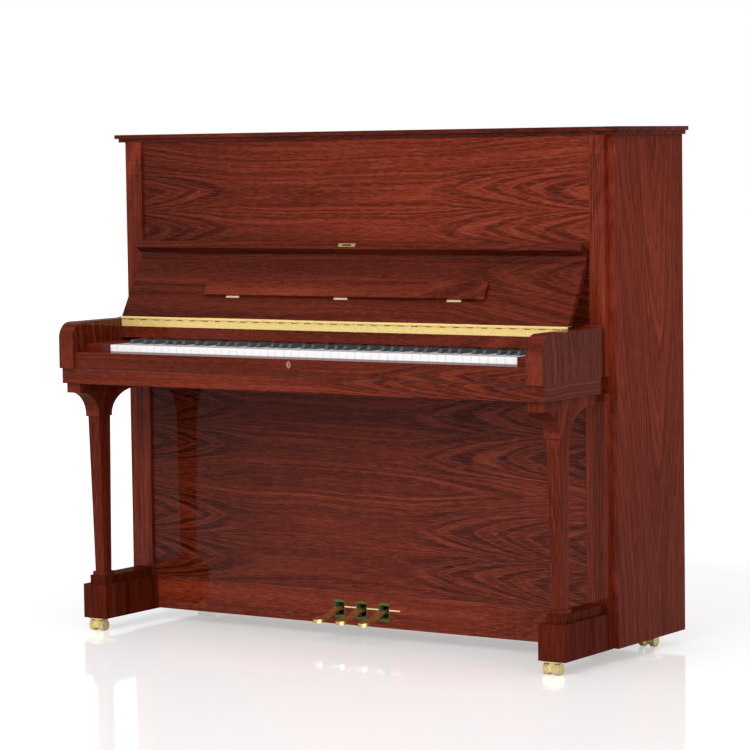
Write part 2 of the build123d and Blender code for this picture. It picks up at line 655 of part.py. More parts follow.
def make_keyslip_lock():
    """Key escutcheon on the keyslip, with its keyhole."""
    z = KEYBED_TOP_Z + KEYSLIP_HEIGHT - LOCK_HEIGHT / 2 - KEYSLIP_ROUND
    plate = front_profile([(LOCK_X - LOCK_WIDTH / 2, z - LOCK_HEIGHT / 4),
                           (LOCK_X, z - LOCK_HEIGHT / 2),
                           (LOCK_X + LOCK_WIDTH / 2, z - LOCK_HEIGHT / 4),
                           (LOCK_X + LOCK_WIDTH / 2, z + LOCK_HEIGHT / 4),
                           (LOCK_X, z + LOCK_HEIGHT / 2),
                           (LOCK_X - LOCK_WIDTH / 2, z + LOCK_HEIGHT / 4)],
                          KEYBED_FRONT_Y - LOCK_THICKNESS, KEYBED_FRONT_Y)
    hole = block(LOCK_X - 1.2, LOCK_X + 1.2, KEYBED_FRONT_Y - LOCK_THICKNESS, KEYBED_FRONT_Y,
                 z - 4.5, z + 4.5)
    return plate - hole


def make_key_blocks():
    blocks = []
    for side in (-1, 1):
        inner = KEYBOARD_HALF + JOINT_GAP
        outer = ARM_INNER_X - JOINT_GAP
        x0, x1 = sorted((side * inner, side * outer))
        blocks.append(block(x0, x1, KEY_BLOCK_FRONT_Y, HINGE_Y - HINGE_LEAF * 2,
                            KEYBED_TOP_Z, KEYBED_TOP_Z + KEY_BLOCK_HEIGHT))
    return Compound(children=blocks)


def make_hinge_rail():
    """Nameboard rail over the keys, with the shelf that runs back under the upper panel."""
    half = ARM_INNER_X - JOINT_GAP
    top = HINGE_Z - HINGE_RADIUS
    front = HINGE_Y + HINGE_RADIUS - HINGE_LEAF
    return side_profile([(front, RAIL_UNDER_Z), (front + RAIL_BOARD, RAIL_UNDER_Z),
                         (front + RAIL_BOARD, top - RAIL_BOARD), (PANEL_REAR_Y, top - RAIL_BOARD),
                         (PANEL_REAR_Y, top), (front, top)], -half, half)


# ---------------------------------------------------------------- keys
def make_white_key(note):
    head_left, head_right = white_edges(note)
    left, right = tail_edges(note)
    notch_y = WHITE_FRONT_Y + WHITE_HEAD
    outline = [(head_left, WHITE_FRONT_Y), (head_right, WHITE_FRONT_Y)]
    if right < head_right:
        outline += [(head_right, notch_y), (right, notch_y)]
    outline += [(right, KEY_REAR_Y), (left, KEY_REAR_Y)]
    if left > head_left:
        outline += [(left, notch_y), (head_left, notch_y)]
    return plan_profile(outline, WHITE_UNDER_Z, WHITE_TOP_Z)


def make_black_key(note):
    """Stick with a raised, tapered playing part."""
    x = black_center(note)
    front = WHITE_FRONT_Y + WHITE_HEAD + KEY_GAP
    stick = block(x - BLACK_WIDTH / 2, x + BLACK_WIDTH / 2, front, KEY_REAR_Y,
                  WHITE_UNDER_Z, WHITE_TOP_Z)
    rear = front + BLACK_LENGTH
    foot = Plane.XY.offset(WHITE_TOP_Z) * Pos(x, (front + rear) / 2) * Rectangle(BLACK_WIDTH, rear - front)
    crown_front = front + BLACK_NOSE
    crown = (Plane.XY.offset(WHITE_TOP_Z + BLACK_RISE) * Pos(x, (crown_front + rear) / 2)
             * Rectangle(BLACK_TOP_WIDTH, rear - crown_front))
    return stick + loft([foot, crown])


def make_capstan(note):
    """Post on the stick that lifts the wippen."""
    x = note_x(note)
    half = CAPSTAN_SIZE / 2
    return block(x - half, x + half, CAPSTAN_Y - half, CAPSTAN_Y + half,
                 WHITE_TOP_Z, WIPPEN_UNDER_Z - FELT_GAP)


def make_keys(first, black):
    """Every second note from first, white or black."""
    keys = []
    for note in range(first, NOTE_COUNT + 1, 2):
        if is_black(note) != black:
            continue
        key = make_black_key(note) if black else make_white_key(note)
        keys.append(key + make_capstan(note))
    return Compound(children=keys)


def make_key_frame():
    """Front, balance and back rails under the keys, joined by two stretchers."""
    half = KEYBOARD_HALF
    under = WHITE_UNDER_Z - FELT_GAP
    front_y = WHITE_FRONT_Y + 22.0
    front = block(-half, half, front_y - 12.0, front_y + 12.0, KEYBED_TOP_Z, under - KEY_DIP)
    base_z = KEYBED_TOP_Z + 22.0
    balance = block(-half, half, BALANCE_Y - RAIL_WIDE, BALANCE_Y + RAIL_WIDE, KEYBED_TOP_Z, base_z)
    balance += block(-half, half, BALANCE_Y - RAIL_NARROW, BALANCE_Y + RAIL_NARROW, base_z, under)
    back = block(-half, half, KEY_REAR_Y - 30.0, KEY_REAR_Y - 4.0, KEYBED_TOP_Z, under)
    frame = front + balance + back
    for x in (-half / 2, half / 2):
        frame += block(x - 20.0, x + 20.0, front_y, KEY_REAR_Y - 17.0, KEYBED_TOP_Z, KEYBED_TOP_Z + 14.0)
    return frame


# ---------------------------------------------------------------- fallboard
def fallboard_point(along, out):
    """A point of the open fallboard: along its inner face from the hinge, and out of it."""
    lean = math.radians(FALLBOARD_LEAN)
    return (HINGE_Y + along * math.sin(lean) - out * math.cos(lean),
            HINGE_Z + along * math.cos(lean) + out * math.sin(lean))


def make_fallboard():
    lip_under = FALLBOARD_LENGTH - LIP_THICKNESS
    lean = math.radians(FALLBOARD_LEAN)
    foot_rear = FALLBOARD_FOOT + FALLBOARD_THICKNESS * math.tan(lean)
    rest_y = PANEL_FRONT_Y - JOINT_GAP - HINGE_Y
    bevel_along = (rest_y - FALLBOARD_THICKNESS * math.cos(lean)) / math.sin(lean)
    bevel_out = (FALLBOARD_LENGTH * math.sin(lean) - rest_y) / math.cos(lean)
    points = [fallboard_point(foot_rear, -FALLBOARD_THICKNESS), fallboard_point(FALLBOARD_FOOT, 0),
              fallboard_point(lip_under - LIP_COVE, 0)]
    cove_end = fallboard_point(lip_under, LIP_COVE)
    rest = [cove_end, fallboard_point(lip_under, LIP_REACH), fallboard_point(FALLBOARD_LENGTH, LIP_REACH),
            fallboard_point(FALLBOARD_LENGTH, bevel_out), fallboard_point(bevel_along, -FALLBOARD_THICKNESS),
            points[0]]
    middle = fallboard_point(lip_under - LIP_COVE * (1 - math.sin(math.radians(45))),
                             LIP_COVE * (1 - math.cos(math.radians(45))))
    edges = [Line(a, b) for a, b in zip(points, points[1:])]
    edges.append(ThreePointArc(points[-1], middle, cove_end))
    edges += [Line(a, b) for a, b in zip(rest, rest[1:])]
    return extrude(Plane.YZ.offset(-FALLBOARD_HALF) * make_face(edges), 2 * FALLBOARD_HALF)


def board_profile(pairs, x0, x1):
    """A straight-sided outline given in the fallboard's own directions."""
    return side_profile([fallboard_point(along, out) for along, out in pairs], x0, x1)


def make_music_ledge():
    """Narrow board that lies on the fallboard and swings out to hold music."""
    return board_profile([(LEDGE_START, LEDGE_GAP), (LEDGE_START, LEDGE_GAP + LEDGE_THICKNESS),
                          (LEDGE_START + LEDGE_WIDTH, LEDGE_GAP + LEDGE_THICKNESS),
                          (LEDGE_START + LEDGE_WIDTH, LEDGE_GAP)], -LEDGE_HALF, LEDGE_HALF)


def make_strike_plate():
    """Slotted brass plate in the lip that the lock bolt enters."""
    mid = FALLBOARD_LENGTH - LIP_THICKNESS / 2
    half = STRIKE_HEIGHT / 2
    plate = board_profile([(mid - half, LIP_REACH), (mid - half, LIP_REACH + STRIKE_THICKNESS),
                           (mid + half, LIP_REACH + STRIKE_THICKNESS), (mid + half, LIP_REACH)],
                          LOCK_X - STRIKE_WIDTH / 2, LOCK_X + STRIKE_WIDTH / 2)
    half = STRIKE_SLOT_HEIGHT / 2
    slot = board_profile([(mid - half, LIP_REACH), (mid - half, LIP_REACH + STRIKE_THICKNESS),
                          (mid + half, LIP_REACH + STRIKE_THICKNESS), (mid + half, LIP_REACH)],
                         LOCK_X - STRIKE_SLOT_WIDTH / 2, LOCK_X + STRIKE_SLOT_WIDTH / 2)
    return plate - slot


def hinge_spans(parity):
    """Every second knuckle of the long hinge."""
    length = 2 * FALLBOARD_HALF / HINGE_KNUCKLES
    spans = []
    for index in range(parity, HINGE_KNUCKLES, 2):
        start = -FALLBOARD_HALF + index * length
        spans.append((start + HINGE_END_GAP / 2, start + length - HINGE_END_GAP / 2))
    return spans


def make_rail_hinge_leaf():
    """Fixed leaf on the rail's face, its knuckles, and the hinge pin."""
    y0 = HINGE_Y + HINGE_RADIUS - 2 * HINGE_LEAF
    leaf = block(-FALLBOARD_HALF, FALLBOARD_HALF, y0, y0 + HINGE_LEAF,
                 HINGE_Z - HINGE_RADIUS - HINGE_LEAF_HEIGHT, HINGE_Z - HINGE_RADIUS - HINGE_END_GAP)
    for x0, x1 in hinge_spans(0):
        leaf += bar_x(HINGE_RADIUS, x0, x1, HINGE_Y, HINGE_Z)
        leaf += block(x0, x1, y0, y0 + HINGE_LEAF, HINGE_Z - HINGE_RADIUS - HINGE_END_GAP, HINGE_Z)
    return leaf + bar_x(HINGE_PIN_RADIUS, -FALLBOARD_HALF, FALLBOARD_HALF, HINGE_Y, HINGE_Z)


def make_fallboard_hinge_leaf():
    """Moving knuckles and the leaf that is screwed under the fallboard's foot."""
    lean = math.radians(FALLBOARD_LEAN)
    top = HINGE_Z + FALLBOARD_FOOT * math.cos(lean)
    clear = HINGE_RADIUS + HINGE_SWING_GAP
    leaf = block(-FALLBOARD_HALF, FALLBOARD_HALF, HINGE_Y + clear, HINGE_Y + clear + HINGE_TOP_LEAF,
                 top - HINGE_LEAF, top)
    for x0, x1 in hinge_spans(1):
        knuckle = bar_x(HINGE_RADIUS, x0, x1, HINGE_Y, HINGE_Z)
        knuckle += block(x0, x1, HINGE_Y, HINGE_Y + clear, top - HINGE_LEAF, top)
        leaf += knuckle - bar_x(HINGE_PIN_RADIUS + HINGE_PIN_CLEARANCE, x0, x1, HINGE_Y, HINGE_Z)
    return leaf


# ---------------------------------------------------------------- legs, toes, casters
def make_leg():
    """Bracketed capital with hollow curves, tapered column and a stepped foot."""
    x0 = LEG_X - CAPITAL_WIDTH / 2
    block_z = KEYBED_BOTTOM_Z - CAPITAL_BLOCK
    scoop_z = block_z - CAPITAL_SCOOP
    foot_z = scoop_z - CAPITAL_COLLAR
    front_start = CAPITAL_FRONT_Y + CAPITAL_LIP
    rear_start = CAPITAL_REAR_Y - CAPITAL_LIP / 2
    outline = [
        Line((CAPITAL_FRONT_Y, KEYBED_BOTTOM_Z), (CAPITAL_FRONT_Y, block_z)),
        Line((CAPITAL_FRONT_Y, block_z), (front_start, block_z)),
        EllipticalCenterArc((front_start, scoop_z), CAPITAL_FOOT_FRONT_Y - front_start, CAPITAL_SCOOP,
                            start_angle=0, arc_size=90),
        Line((CAPITAL_FOOT_FRONT_Y, scoop_z), (CAPITAL_FOOT_FRONT_Y, foot_z)),
        Line((CAPITAL_FOOT_FRONT_Y, foot_z), (CAPITAL_FOOT_REAR_Y, foot_z)),
        Line((CAPITAL_FOOT_REAR_Y, foot_z), (CAPITAL_FOOT_REAR_Y, scoop_z)),
        EllipticalCenterArc((rear_start, scoop_z), rear_start - CAPITAL_FOOT_REAR_Y, CAPITAL_SCOOP,
                            start_angle=90, arc_size=90),
        Line((rear_start, block_z), (CAPITAL_REAR_Y, block_z)),
        Line((CAPITAL_REAR_Y, block_z), (CAPITAL_REAR_Y, KEYBED_BOTTOM_Z)),
        Line((CAPITAL_REAR_Y, KEYBED_BOTTOM_Z), (CAPITAL_FRONT_Y, KEYBED_BOTTOM_Z)),
    ]
    capital = extrude(Plane.YZ.offset(x0) * make_face(outline), CAPITAL_WIDTH)
    step_z = TOE_TOP_Z + TOE_STRIP_HEIGHT
    column_z = step_z + COLUMN_STEP
    top_y = (COLUMN_TOP_FRONT_Y + COLUMN_TOP_REAR_Y) / 2
    top = Plane.XY.offset(foot_z) * Pos(LEG_X, top_y) * Rectangle(
        COLUMN_TOP_WIDTH, COLUMN_TOP_REAR_Y - COLUMN_TOP_FRONT_Y)
    foot = Plane.XY.offset(column_z) * Pos(LEG_X, COLUMN_FOOT_Y) * Rectangle(
        COLUMN_FOOT_SIZE, COLUMN_FOOT_SIZE)
    column = loft([foot, top])
    half = COLUMN_FOOT_SIZE / 2 + COLUMN_STEP_OVERHANG
    step = block(LEG_X - half, LEG_X + half, COLUMN_FOOT_Y - half, COLUMN_FOOT_Y + half,
                 step_z, column_z)
    return capital + column + step


def make_toe():
    """Toe block with the raised strip that carries the column."""
    toe = block(TOE_INNER_X, TOE_OUTER_X, TOE_FRONT_Y, CASE_FRONT_Y, TOE_BOTTOM_Z, TOE_TOP_Z)
    half = TOE_STRIP_WIDTH / 2
    toe += block(LEG_X - half, LEG_X + half, COLUMN_FOOT_Y - half, PILASTER_FRONT_Y,
                 TOE_TOP_Z, TOE_TOP_Z + TOE_STRIP_HEIGHT)
    return toe


def make_caster_bracket(x, axle_y, under_z):
    """Plate under the case with a web that holds the axle between two rollers."""
    plate = block(x - CASTER_WIDTH / 2, x + CASTER_WIDTH / 2, axle_y - CASTER_TRAIL,
                  axle_y - CASTER_TRAIL + CASTER_PLATE_LENGTH, under_z - CASTER_PLATE, under_z)
    half = CASTER_WEB / 2
    foot = WHEEL_RADIUS - AXLE_RADIUS * 2
    web = side_profile([(axle_y - AXLE_RADIUS * 2, under_z - CASTER_PLATE),
                        (axle_y - AXLE_RADIUS * 2, foot), (axle_y + AXLE_RADIUS * 2, foot),
                        (axle_y + CASTER_PLATE_LENGTH / 2, under_z - CASTER_PLATE)], x - half, x + half)
    return plate + web - bar_x(AXLE_RADIUS + AXLE_CLEARANCE, x - half, x + half, axle_y, WHEEL_RADIUS)


def make_caster_brackets():
    brackets = []
    for x in (-CASTER_X, CASTER_X):
        brackets.append(make_caster_bracket(x, FRONT_AXLE_Y, TOE_BOTTOM_Z))
        brackets.append(make_caster_bracket(x, REAR_AXLE_Y, FLOOR_GAP))
    return Compound(children=brackets)


def make_caster_wheel(x, axle_y):
    """Two rollers on one turning axle."""
    inner = CASTER_WEB / 2 + CASTER_WEB_GAP
    wheel = bar_x(AXLE_RADIUS, x - inner, x + inner, axle_y, WHEEL_RADIUS)
    wheel += bar_x(WHEEL_RADIUS, x - inner - ROLLER_WIDTH, x - inner, axle_y, WHEEL_RADIUS)
    wheel += bar_x(WHEEL_RADIUS, x + inner, x + inner + ROLLER_WIDTH, axle_y, WHEEL_RADIUS)
    return wheel


# ---------------------------------------------------------------- pedals and rods
def pedal_toe(x):
    """Brass toe of a pedal seen from above: round front, sides that draw in to the neck."""
    half = PEDAL_TIP_WIDTH / 2
    neck = PEDAL_NECK_WIDTH / 2
    wide_y = PEDAL_TIP_Y + half
    neck_y = PEDAL_TIP_Y + PEDAL_TIP_LENGTH
    end_y = neck_y + PEDAL_NECK_LENGTH
    middle = ((half + neck) / 2, (wide_y + neck_y) / 2)
    outline = [ThreePointArc((x - half, wide_y), (x, PEDAL_TIP_Y), (x + half, wide_y)),
               Line((x + neck, neck_y), (x + neck, end_y)), Line((x + neck, end_y), (x - neck, end_y)),
               Line((x - neck, end_y), (x - neck, neck_y))]
    for side in (-1, 1):
        outline.append(Spline((x + side * half, wide_y), (x + side * middle[0], middle[1]),
                              (x + side * neck, neck_y), tangents=((0, 1), (0, 1))))
    return make_face(outline)


def make_pedal(index, pivot_y, rod_x, rod_y):
    """Pedal, its rock shaft along the bottom board, and the arm under its rod."""
    x = pedal_x(index)
    neck = PEDAL_NECK_WIDTH / 2
    neck_y = PEDAL_TIP_Y + PEDAL_TIP_LENGTH
    heel_y = neck_y + PEDAL_NECK_LENGTH
    lever = side_profile([(PEDAL_TIP_Y, PEDAL_TIP_Z), (PEDAL_TIP_Y, PEDAL_TIP_Z + PEDAL_THICKNESS),
                          (neck_y, PEDAL_TIP_Z + PEDAL_THICKNESS + PEDAL_TOE_RISE),
                          (heel_y, PEDAL_HEEL_Z + PEDAL_THICKNESS),
                          (pivot_y, PEDAL_SHAFT_Z + PEDAL_THICKNESS / 2),
                          (pivot_y, PEDAL_SHAFT_Z - PEDAL_THICKNESS / 2),
                          (heel_y, PEDAL_HEEL_Z), (neck_y, PEDAL_TIP_Z + PEDAL_TOE_RISE)],
                         x - PEDAL_TIP_WIDTH, x + PEDAL_TIP_WIDTH)
    plan = extrude(pedal_toe(x), PEDAL_SLOT_TOP_Z)
    plan += block(x - neck, x + neck, heel_y, pivot_y, 0, PEDAL_SHAFT_Z * 2)
    pedal = lever & plan
    x0, x1 = sorted((x, rod_x))
    shaft = bar_x(PEDAL_SHAFT_RADIUS, x0 - PEDAL_ARM_WIDTH / 2, x1 + PEDAL_ARM_WIDTH / 2,
                  pivot_y, PEDAL_SHAFT_Z)
    tip = PEDAL_SHAFT_Z + PEDAL_SHAFT_RADIUS
    side = 1 if rod_y > pivot_y else -1
    arm = side_profile([(pivot_y, PEDAL_SHAFT_Z - 5.0), (pivot_y, PEDAL_SHAFT_Z + 5.0),
                        (rod_y - side * 8.0, tip - 4.0), (rod_y, tip), (rod_y + side * 5.0, tip - 4.0),
                        (rod_y + side * 5.0, PEDAL_SHAFT_Z - 3.0)],
                       rod_x - PEDAL_ARM_WIDTH / 2, rod_x + PEDAL_ARM_WIDTH / 2)
    return pedal + shaft + arm


def make_pedal_bearings():
    """Blocks on the bottom board that carry the three rock shafts."""
    blocks = []
    step = BEARING_OFFSET
    places = [(LEFT_PIVOT_Y, pedal_x(-1) - step), (LEFT_PIVOT_Y, SOFT_ROD_X + step),
              (MIDDLE_PIVOT_Y, pedal_x(0) - step), (MIDDLE_PIVOT_Y, MUTE_ROD_X + step),
              (RIGHT_PIVOT_Y, pedal_x(1) + step), (RIGHT_PIVOT_Y, SUSTAIN_ROD_X - step)]
    for y, x in places:
        x0 = x - BEARING_WIDTH / 2
        x1 = x + BEARING_WIDTH / 2
        bearing = block(x0, x1, y - BEARING_DEPTH / 2, y + BEARING_DEPTH / 2,
                        BOTTOM_BOARD_TOP_Z, PEDAL_SHAFT_Z + PEDAL_SHAFT_RADIUS + 6.0)
        blocks.append(bearing - bar_x(PEDAL_SHAFT_RADIUS + SHAFT_CLEARANCE, x0, x1, y, PEDAL_SHAFT_Z))
    return Compound(children=blocks)


def make_rod(x, y, top_z):
    """Wooden rod that stands on a pedal's arm."""
    return post_z(ROD_RADIUS, x, y, PEDAL_SHAFT_Z + PEDAL_SHAFT_RADIUS + ROD_GAP, top_z)


# ---------------------------------------------------------------- action
def hammer_outline():
    """Butt, shank and felted head at let-off, about the pivot."""
    lean = math.radians(LET_OFF_LEAN)
    top_y = HAMMER_PIVOT_Y + SHANK_LENGTH * math.sin(lean)
    top_z = HAMMER_PIVOT_Z + SHANK_LENGTH * math.cos(lean)

    def on_shank(along, across):
        return (HAMMER_PIVOT_Y + along * math.sin(lean) + across * math.cos(lean),
                HAMMER_PIVOT_Z + along * math.cos(lean) - across * math.sin(lean))

    return [(HAMMER_PIVOT_Y, HAMMER_PIVOT_Z - 4.0), on_shank(SHANK_LENGTH - 12.0, 3.0),
            (top_y + HAMMER_REACH - 16.0, top_z - 12.0), (top_y + HAMMER_REACH, top_z),
            (top_y + HAMMER_REACH - 16.0, top_z + 12.0), (top_y - 9.0, top_z + 9.0),
            on_shank(SHANK_LENGTH - 12.0, -3.0), on_shank(26.0, -3.0),
            (HAMMER_PIVOT_Y - 20.0, HAMMER_PIVOT_Z + 9.0)]


def make_hammers(first):
    hammers = []
    for note in range(first, NOTE_COUNT + 1, 2):
        x = note_x(note)
        hammer = side_profile(hammer_outline(), x - HAMMER_WIDTH / 2, x + HAMMER_WIDTH / 2)
        hammers.append(turned(hammer, HAMMER_PIVOT_Y, HAMMER_PIVOT_Z, KEY_BLOW + SOFT_BLOW))
    return Compound(children=hammers)


def make_wippens(first):
    """Levers that carry the jacks, each over its key's capstan."""
    front = CAPSTAN_Y - 6.0
    jack = HAMMER_PIVOT_Y - 19.0
    deck = WIPPEN_UNDER_Z + 8.0
    spoon = DAMPER_PIVOT_Y + 0.6
    outline = [(front, WIPPEN_UNDER_Z), (jack - 3.5, deck), (jack - 3.5, JACK_TOP_Z),
               (jack + 2.0, JACK_TOP_Z), (jack + 12.0, deck), (WIPPEN_PIVOT_Y, WIPPEN_PIVOT_Z),
               (spoon - SPOON_THICKNESS, WIPPEN_PIVOT_Z - 4.0), (spoon - SPOON_THICKNESS, SPOON_TOP_Z),
               (spoon, SPOON_TOP_Z), (spoon, WIPPEN_PIVOT_Z - 8.0), (WIPPEN_PIVOT_Y - 8.0, WIPPEN_UNDER_Z)]
    wippens = []
    for note in range(first, NOTE_COUNT + 1, 2):
        x = note_x(note)
        wippens.append(side_profile(outline, x - WIPPEN_WIDTH / 2, x + WIPPEN_WIDTH / 2))
    return Compound(children=wippens)


def make_dampers(first):
    dampers = []
    for note in range(first, DAMPER_NOTES + 1, 2):
        x = note_x(note)
        face = string_y_at(note, DAMPER_HEAD_Z) - STRING_SIZE / 2 - FELT_GAP
        outline = [(DAMPER_PIVOT_Y, DAMPER_PIVOT_Z), (DAMPER_PIVOT_Y + 2.8, DAMPER_PIVOT_Z - DAMPER_TAIL),
                   (DAMPER_PIVOT_Y + 9.0, DAMPER_PIVOT_Z - DAMPER_TAIL), (face - 14.0, DAMPER_HEAD_Z),
                   (face, DAMPER_HEAD_Z), (face, DAMPER_HEAD_Z + DAMPER_HEAD_HEIGHT),
                   (face - DAMPER_HEAD_DEPTH, DAMPER_HEAD_Z + DAMPER_HEAD_HEIGHT)]
        dampers.append(side_profile(outline, x - DAMPER_WIDTH / 2, x + DAMPER_WIDTH / 2))
    return Compound(children=dampers)


def make_action_frame():
    """Main rail on which hammers, wippens and dampers pivot, between two standing brackets."""
    rear = DAMPER_PIVOT_Y - FELT_GAP
    flange = WIPPEN_PIVOT_Z + FELT_GAP
    half = ACTION_HALF
    rail = side_profile([(ACTION_RAIL_FRONT_Y, ACTION_RAIL_TOP_Z - 20.0),
                         (WIPPEN_PIVOT_Y - 8.0, ACTION_RAIL_TOP_Z - 20.0), (WIPPEN_PIVOT_Y - 8.0, flange),
                         (WIPPEN_PIVOT_Y + 5.0, flange), (WIPPEN_PIVOT_Y + 5.0, SPOON_TOP_Z + 4.0),
                         (rear, SPOON_TOP_Z + 4.0), (rear, ACTION_RAIL_TOP_Z),
                         (ACTION_RAIL_FRONT_Y, ACTION_RAIL_TOP_Z)], -half, half)
    frame = rail
    for x0, x1 in ((-half - BRACKET_THICKNESS, -half), (half, half + BRACKET_THICKNESS)):
        frame += side_profile([(ACTION_RAIL_FRONT_Y - 20.0, KEYBED_TOP_Z), (KEYBED_REAR_Y, KEYBED_TOP_Z),
                               (rear, flange), (rear, ACTION_RAIL_TOP_Z),
                               (ACTION_RAIL_FRONT_Y, ACTION_RAIL_TOP_Z)], x0, x1)
    return frame


def make_hammer_rail():
    """Padded rail that the resting shanks lean on, its two arms, and the soft lever."""
    lean = LET_OFF_LEAN - KEY_BLOW - SOFT_BLOW
    back = HAMMER_PIVOT_Y - 3.0 - FELT_GAP
    z0 = HAMMER_PIVOT_Z + HAMMER_RAIL_HEIGHT
    half = KEYBOARD_HALF + 12.0
    left = SOFT_ROD_X - PEDAL_ARM_WIDTH / 2
    rail = block(left, half, back - HAMMER_RAIL_THICKNESS, back, z0, z0 + HAMMER_RAIL_WIDTH)
    outline = [(HAMMER_PIVOT_Y, HAMMER_PIVOT_Z - 4.0), (HAMMER_PIVOT_Y + 5.0, HAMMER_PIVOT_Z + 6.0),
               (back, z0), (back - HAMMER_RAIL_THICKNESS, z0), (HAMMER_PIVOT_Y - 6.0, HAMMER_PIVOT_Z + 6.0)]
    right_arm = side_profile(outline, half - PEDAL_ARM_WIDTH, half)
    left_arm = side_profile(outline, left, left + PEDAL_ARM_WIDTH)
    rail = turned(rail + right_arm + left_arm, HAMMER_PIVOT_Y, HAMMER_PIVOT_Z, -lean)
    lever = side_profile([(HAMMER_PIVOT_Y, HAMMER_PIVOT_Z + 3.0), (HAMMER_PIVOT_Y, HAMMER_PIVOT_Z + 9.0),
                          (SOFT_ROD_Y - 6.0, HAMMER_PIVOT_Z + 5.0), (SOFT_ROD_Y, HAMMER_PIVOT_Z)],
                         left, left + PEDAL_ARM_WIDTH)
    return rail + lever


def make_damper_lift_rod():
    """Bar behind the wippens that tips every damper, with its arms and the sustain lever."""
    y = DAMPER_PIVOT_Y
    z = DAMPER_PIVOT_Z
    bar_z = z - DAMPER_TAIL + 2.0
    x0 = -KEYBOARD_HALF - 12.0
    x1 = SUSTAIN_ROD_X + PEDAL_ARM_WIDTH / 2
    rod = block(x0, x1, y - 2.6, y + 1.6, bar_z, bar_z + 6.0)
    outline = [(y, z), (y, z - 30.0), (y - 2.6, z - 36.0), (y - 2.6, bar_z), (y + 6.0, bar_z), (y + 6.0, z)]
    for left in (x0, x1 - PEDAL_ARM_WIDTH):
        rod += side_profile(outline, left, left + PEDAL_ARM_WIDTH)
    rod += side_profile([(y, z), (y + 6.0, z - 12.0), (SUSTAIN_ROD_Y, z - 6.0), (SUSTAIN_ROD_Y + 5.0, z)],
                        x1 - PEDAL_ARM_WIDTH, x1)
    return rod


def make_mute_rail():
    """Rail over the hammer heads with a felt curtain before the strings, and its two arms."""
    felt_top = MUTE_FELT_FOOT_Z + MUTE_FELT_DROP
    half = KEYBOARD_HALF + 20.0
    left = MUTE_ROD_X - PEDAL_ARM_WIDTH / 2
    rear = MUTE_FELT_Y + MUTE_FELT_THICKNESS
    rail = block(left, half, rear - MUTE_RAIL_WIDTH, rear, felt_top, felt_top + MUTE_RAIL_HEIGHT)
    rail += block(-KEYBOARD_HALF, KEYBOARD_HALF, MUTE_FELT_Y, rear, MUTE_FELT_FOOT_Z, felt_top)
    rail += block(left, left + PEDAL_ARM_WIDTH, MUTE_ROD_Y - ROD_RADIUS, rear - MUTE_RAIL_WIDTH,
                  felt_top, felt_top + MUTE_RAIL_HEIGHT)
    return rail


# ---------------------------------------------------------------- back and strings
def pin_field_z(x):
    """Lower edge of the tuning-pin field, which falls towards the treble."""
    share = (x + PLATE_HALF) / (2 * PLATE_HALF)
    return BASS_TOP_Z + (TREBLE_TOP_Z - BASS_TOP_Z) * share


def make_back_frame():
    """Posts between a top and a bottom beam, with the laminated pin block on the front."""
    half = SIDE_INNER_X
    top_z = CASE_HEIGHT
    foot_z = FLOOR_GAP + BOTTOM_BEAM_HEIGHT
    head_z = top_z - TOP_BEAM_HEIGHT
    pieces = [block(-half, half, POST_FRONT_Y, BACK_Y, head_z, top_z),
              block(-half, half, BOTTOM_BOARD_REAR_Y, BACK_Y, FLOOR_GAP, foot_z)]
    spacing = (2 * half - POST_WIDTH) / (POST_COUNT - 1)
    for index in range(POST_COUNT):
        x = -half + POST_WIDTH / 2 + index * spacing
        pieces.append(block(x - POST_WIDTH / 2, x + POST_WIDTH / 2, POST_FRONT_Y, BACK_Y, foot_z, head_z))
    edge = PLATE_HALF
    pieces.append(front_profile([(-edge, pin_field_z(-edge)), (edge, pin_field_z(edge)),
                                 (edge, top_z - PLATE_TOP_GAP), (-edge, top_z - PLATE_TOP_GAP)],
                                PLATE_REAR_Y, POST_FRONT_Y))
    return Compound(children=pieces)


def make_soundboard():
    """Spruce board with slanted ribs on its back."""
    foot = FLOOR_GAP + BOTTOM_BEAM_HEIGHT
    board = front_profile([(-PLATE_HALF, foot), (PLATE_HALF, foot),
                           (PLATE_HALF, pin_field_z(PLATE_HALF) - BOARD_MARGIN),
                           (-PLATE_HALF, pin_field_z(-PLATE_HALF) - BOARD_MARGIN)],
                          SOUNDBOARD_FRONT_Y, SOUNDBOARD_REAR_Y)
    edge = PLATE_HALF - RIB_MARGIN
    envelope = front_profile([(-edge, foot + RIB_MARGIN), (edge, foot + RIB_MARGIN),
                              (edge, pin_field_z(PLATE_HALF) - RIB_MARGIN),
                              (-edge, pin_field_z(-PLATE_HALF) - RIB_MARGIN)],
                             SOUNDBOARD_REAR_Y, POST_FRONT_Y)
    middle_z = (foot + pin_field_z(0)) / 2
    for index in range(RIB_COUNT):
        offset = (index - (RIB_COUNT - 1) / 2) * RIB_SPACING
        rib = (Pos(0, (SOUNDBOARD_REAR_Y + POST_FRONT_Y) / 2, middle_z + offset)
               * Rot(0, -RIB_SLOPE, 0) * Box(RIB_LENGTH, RIB_HEIGHT, RIB_WIDTH))
        board += rib & envelope
    return board


def strut_x():
    """Struts of the plate stand at the breaks between its sections."""
    return (-PLATE_HALF + STRUT_HALF, note_x(BREAK_NOTES) + BREAK_STRUT_SHIFT,
            note_x(TREBLE_BREAK_NOTES) + TREBLE_STRUT_SHIFT, PLATE_HALF - STRUT_HALF)


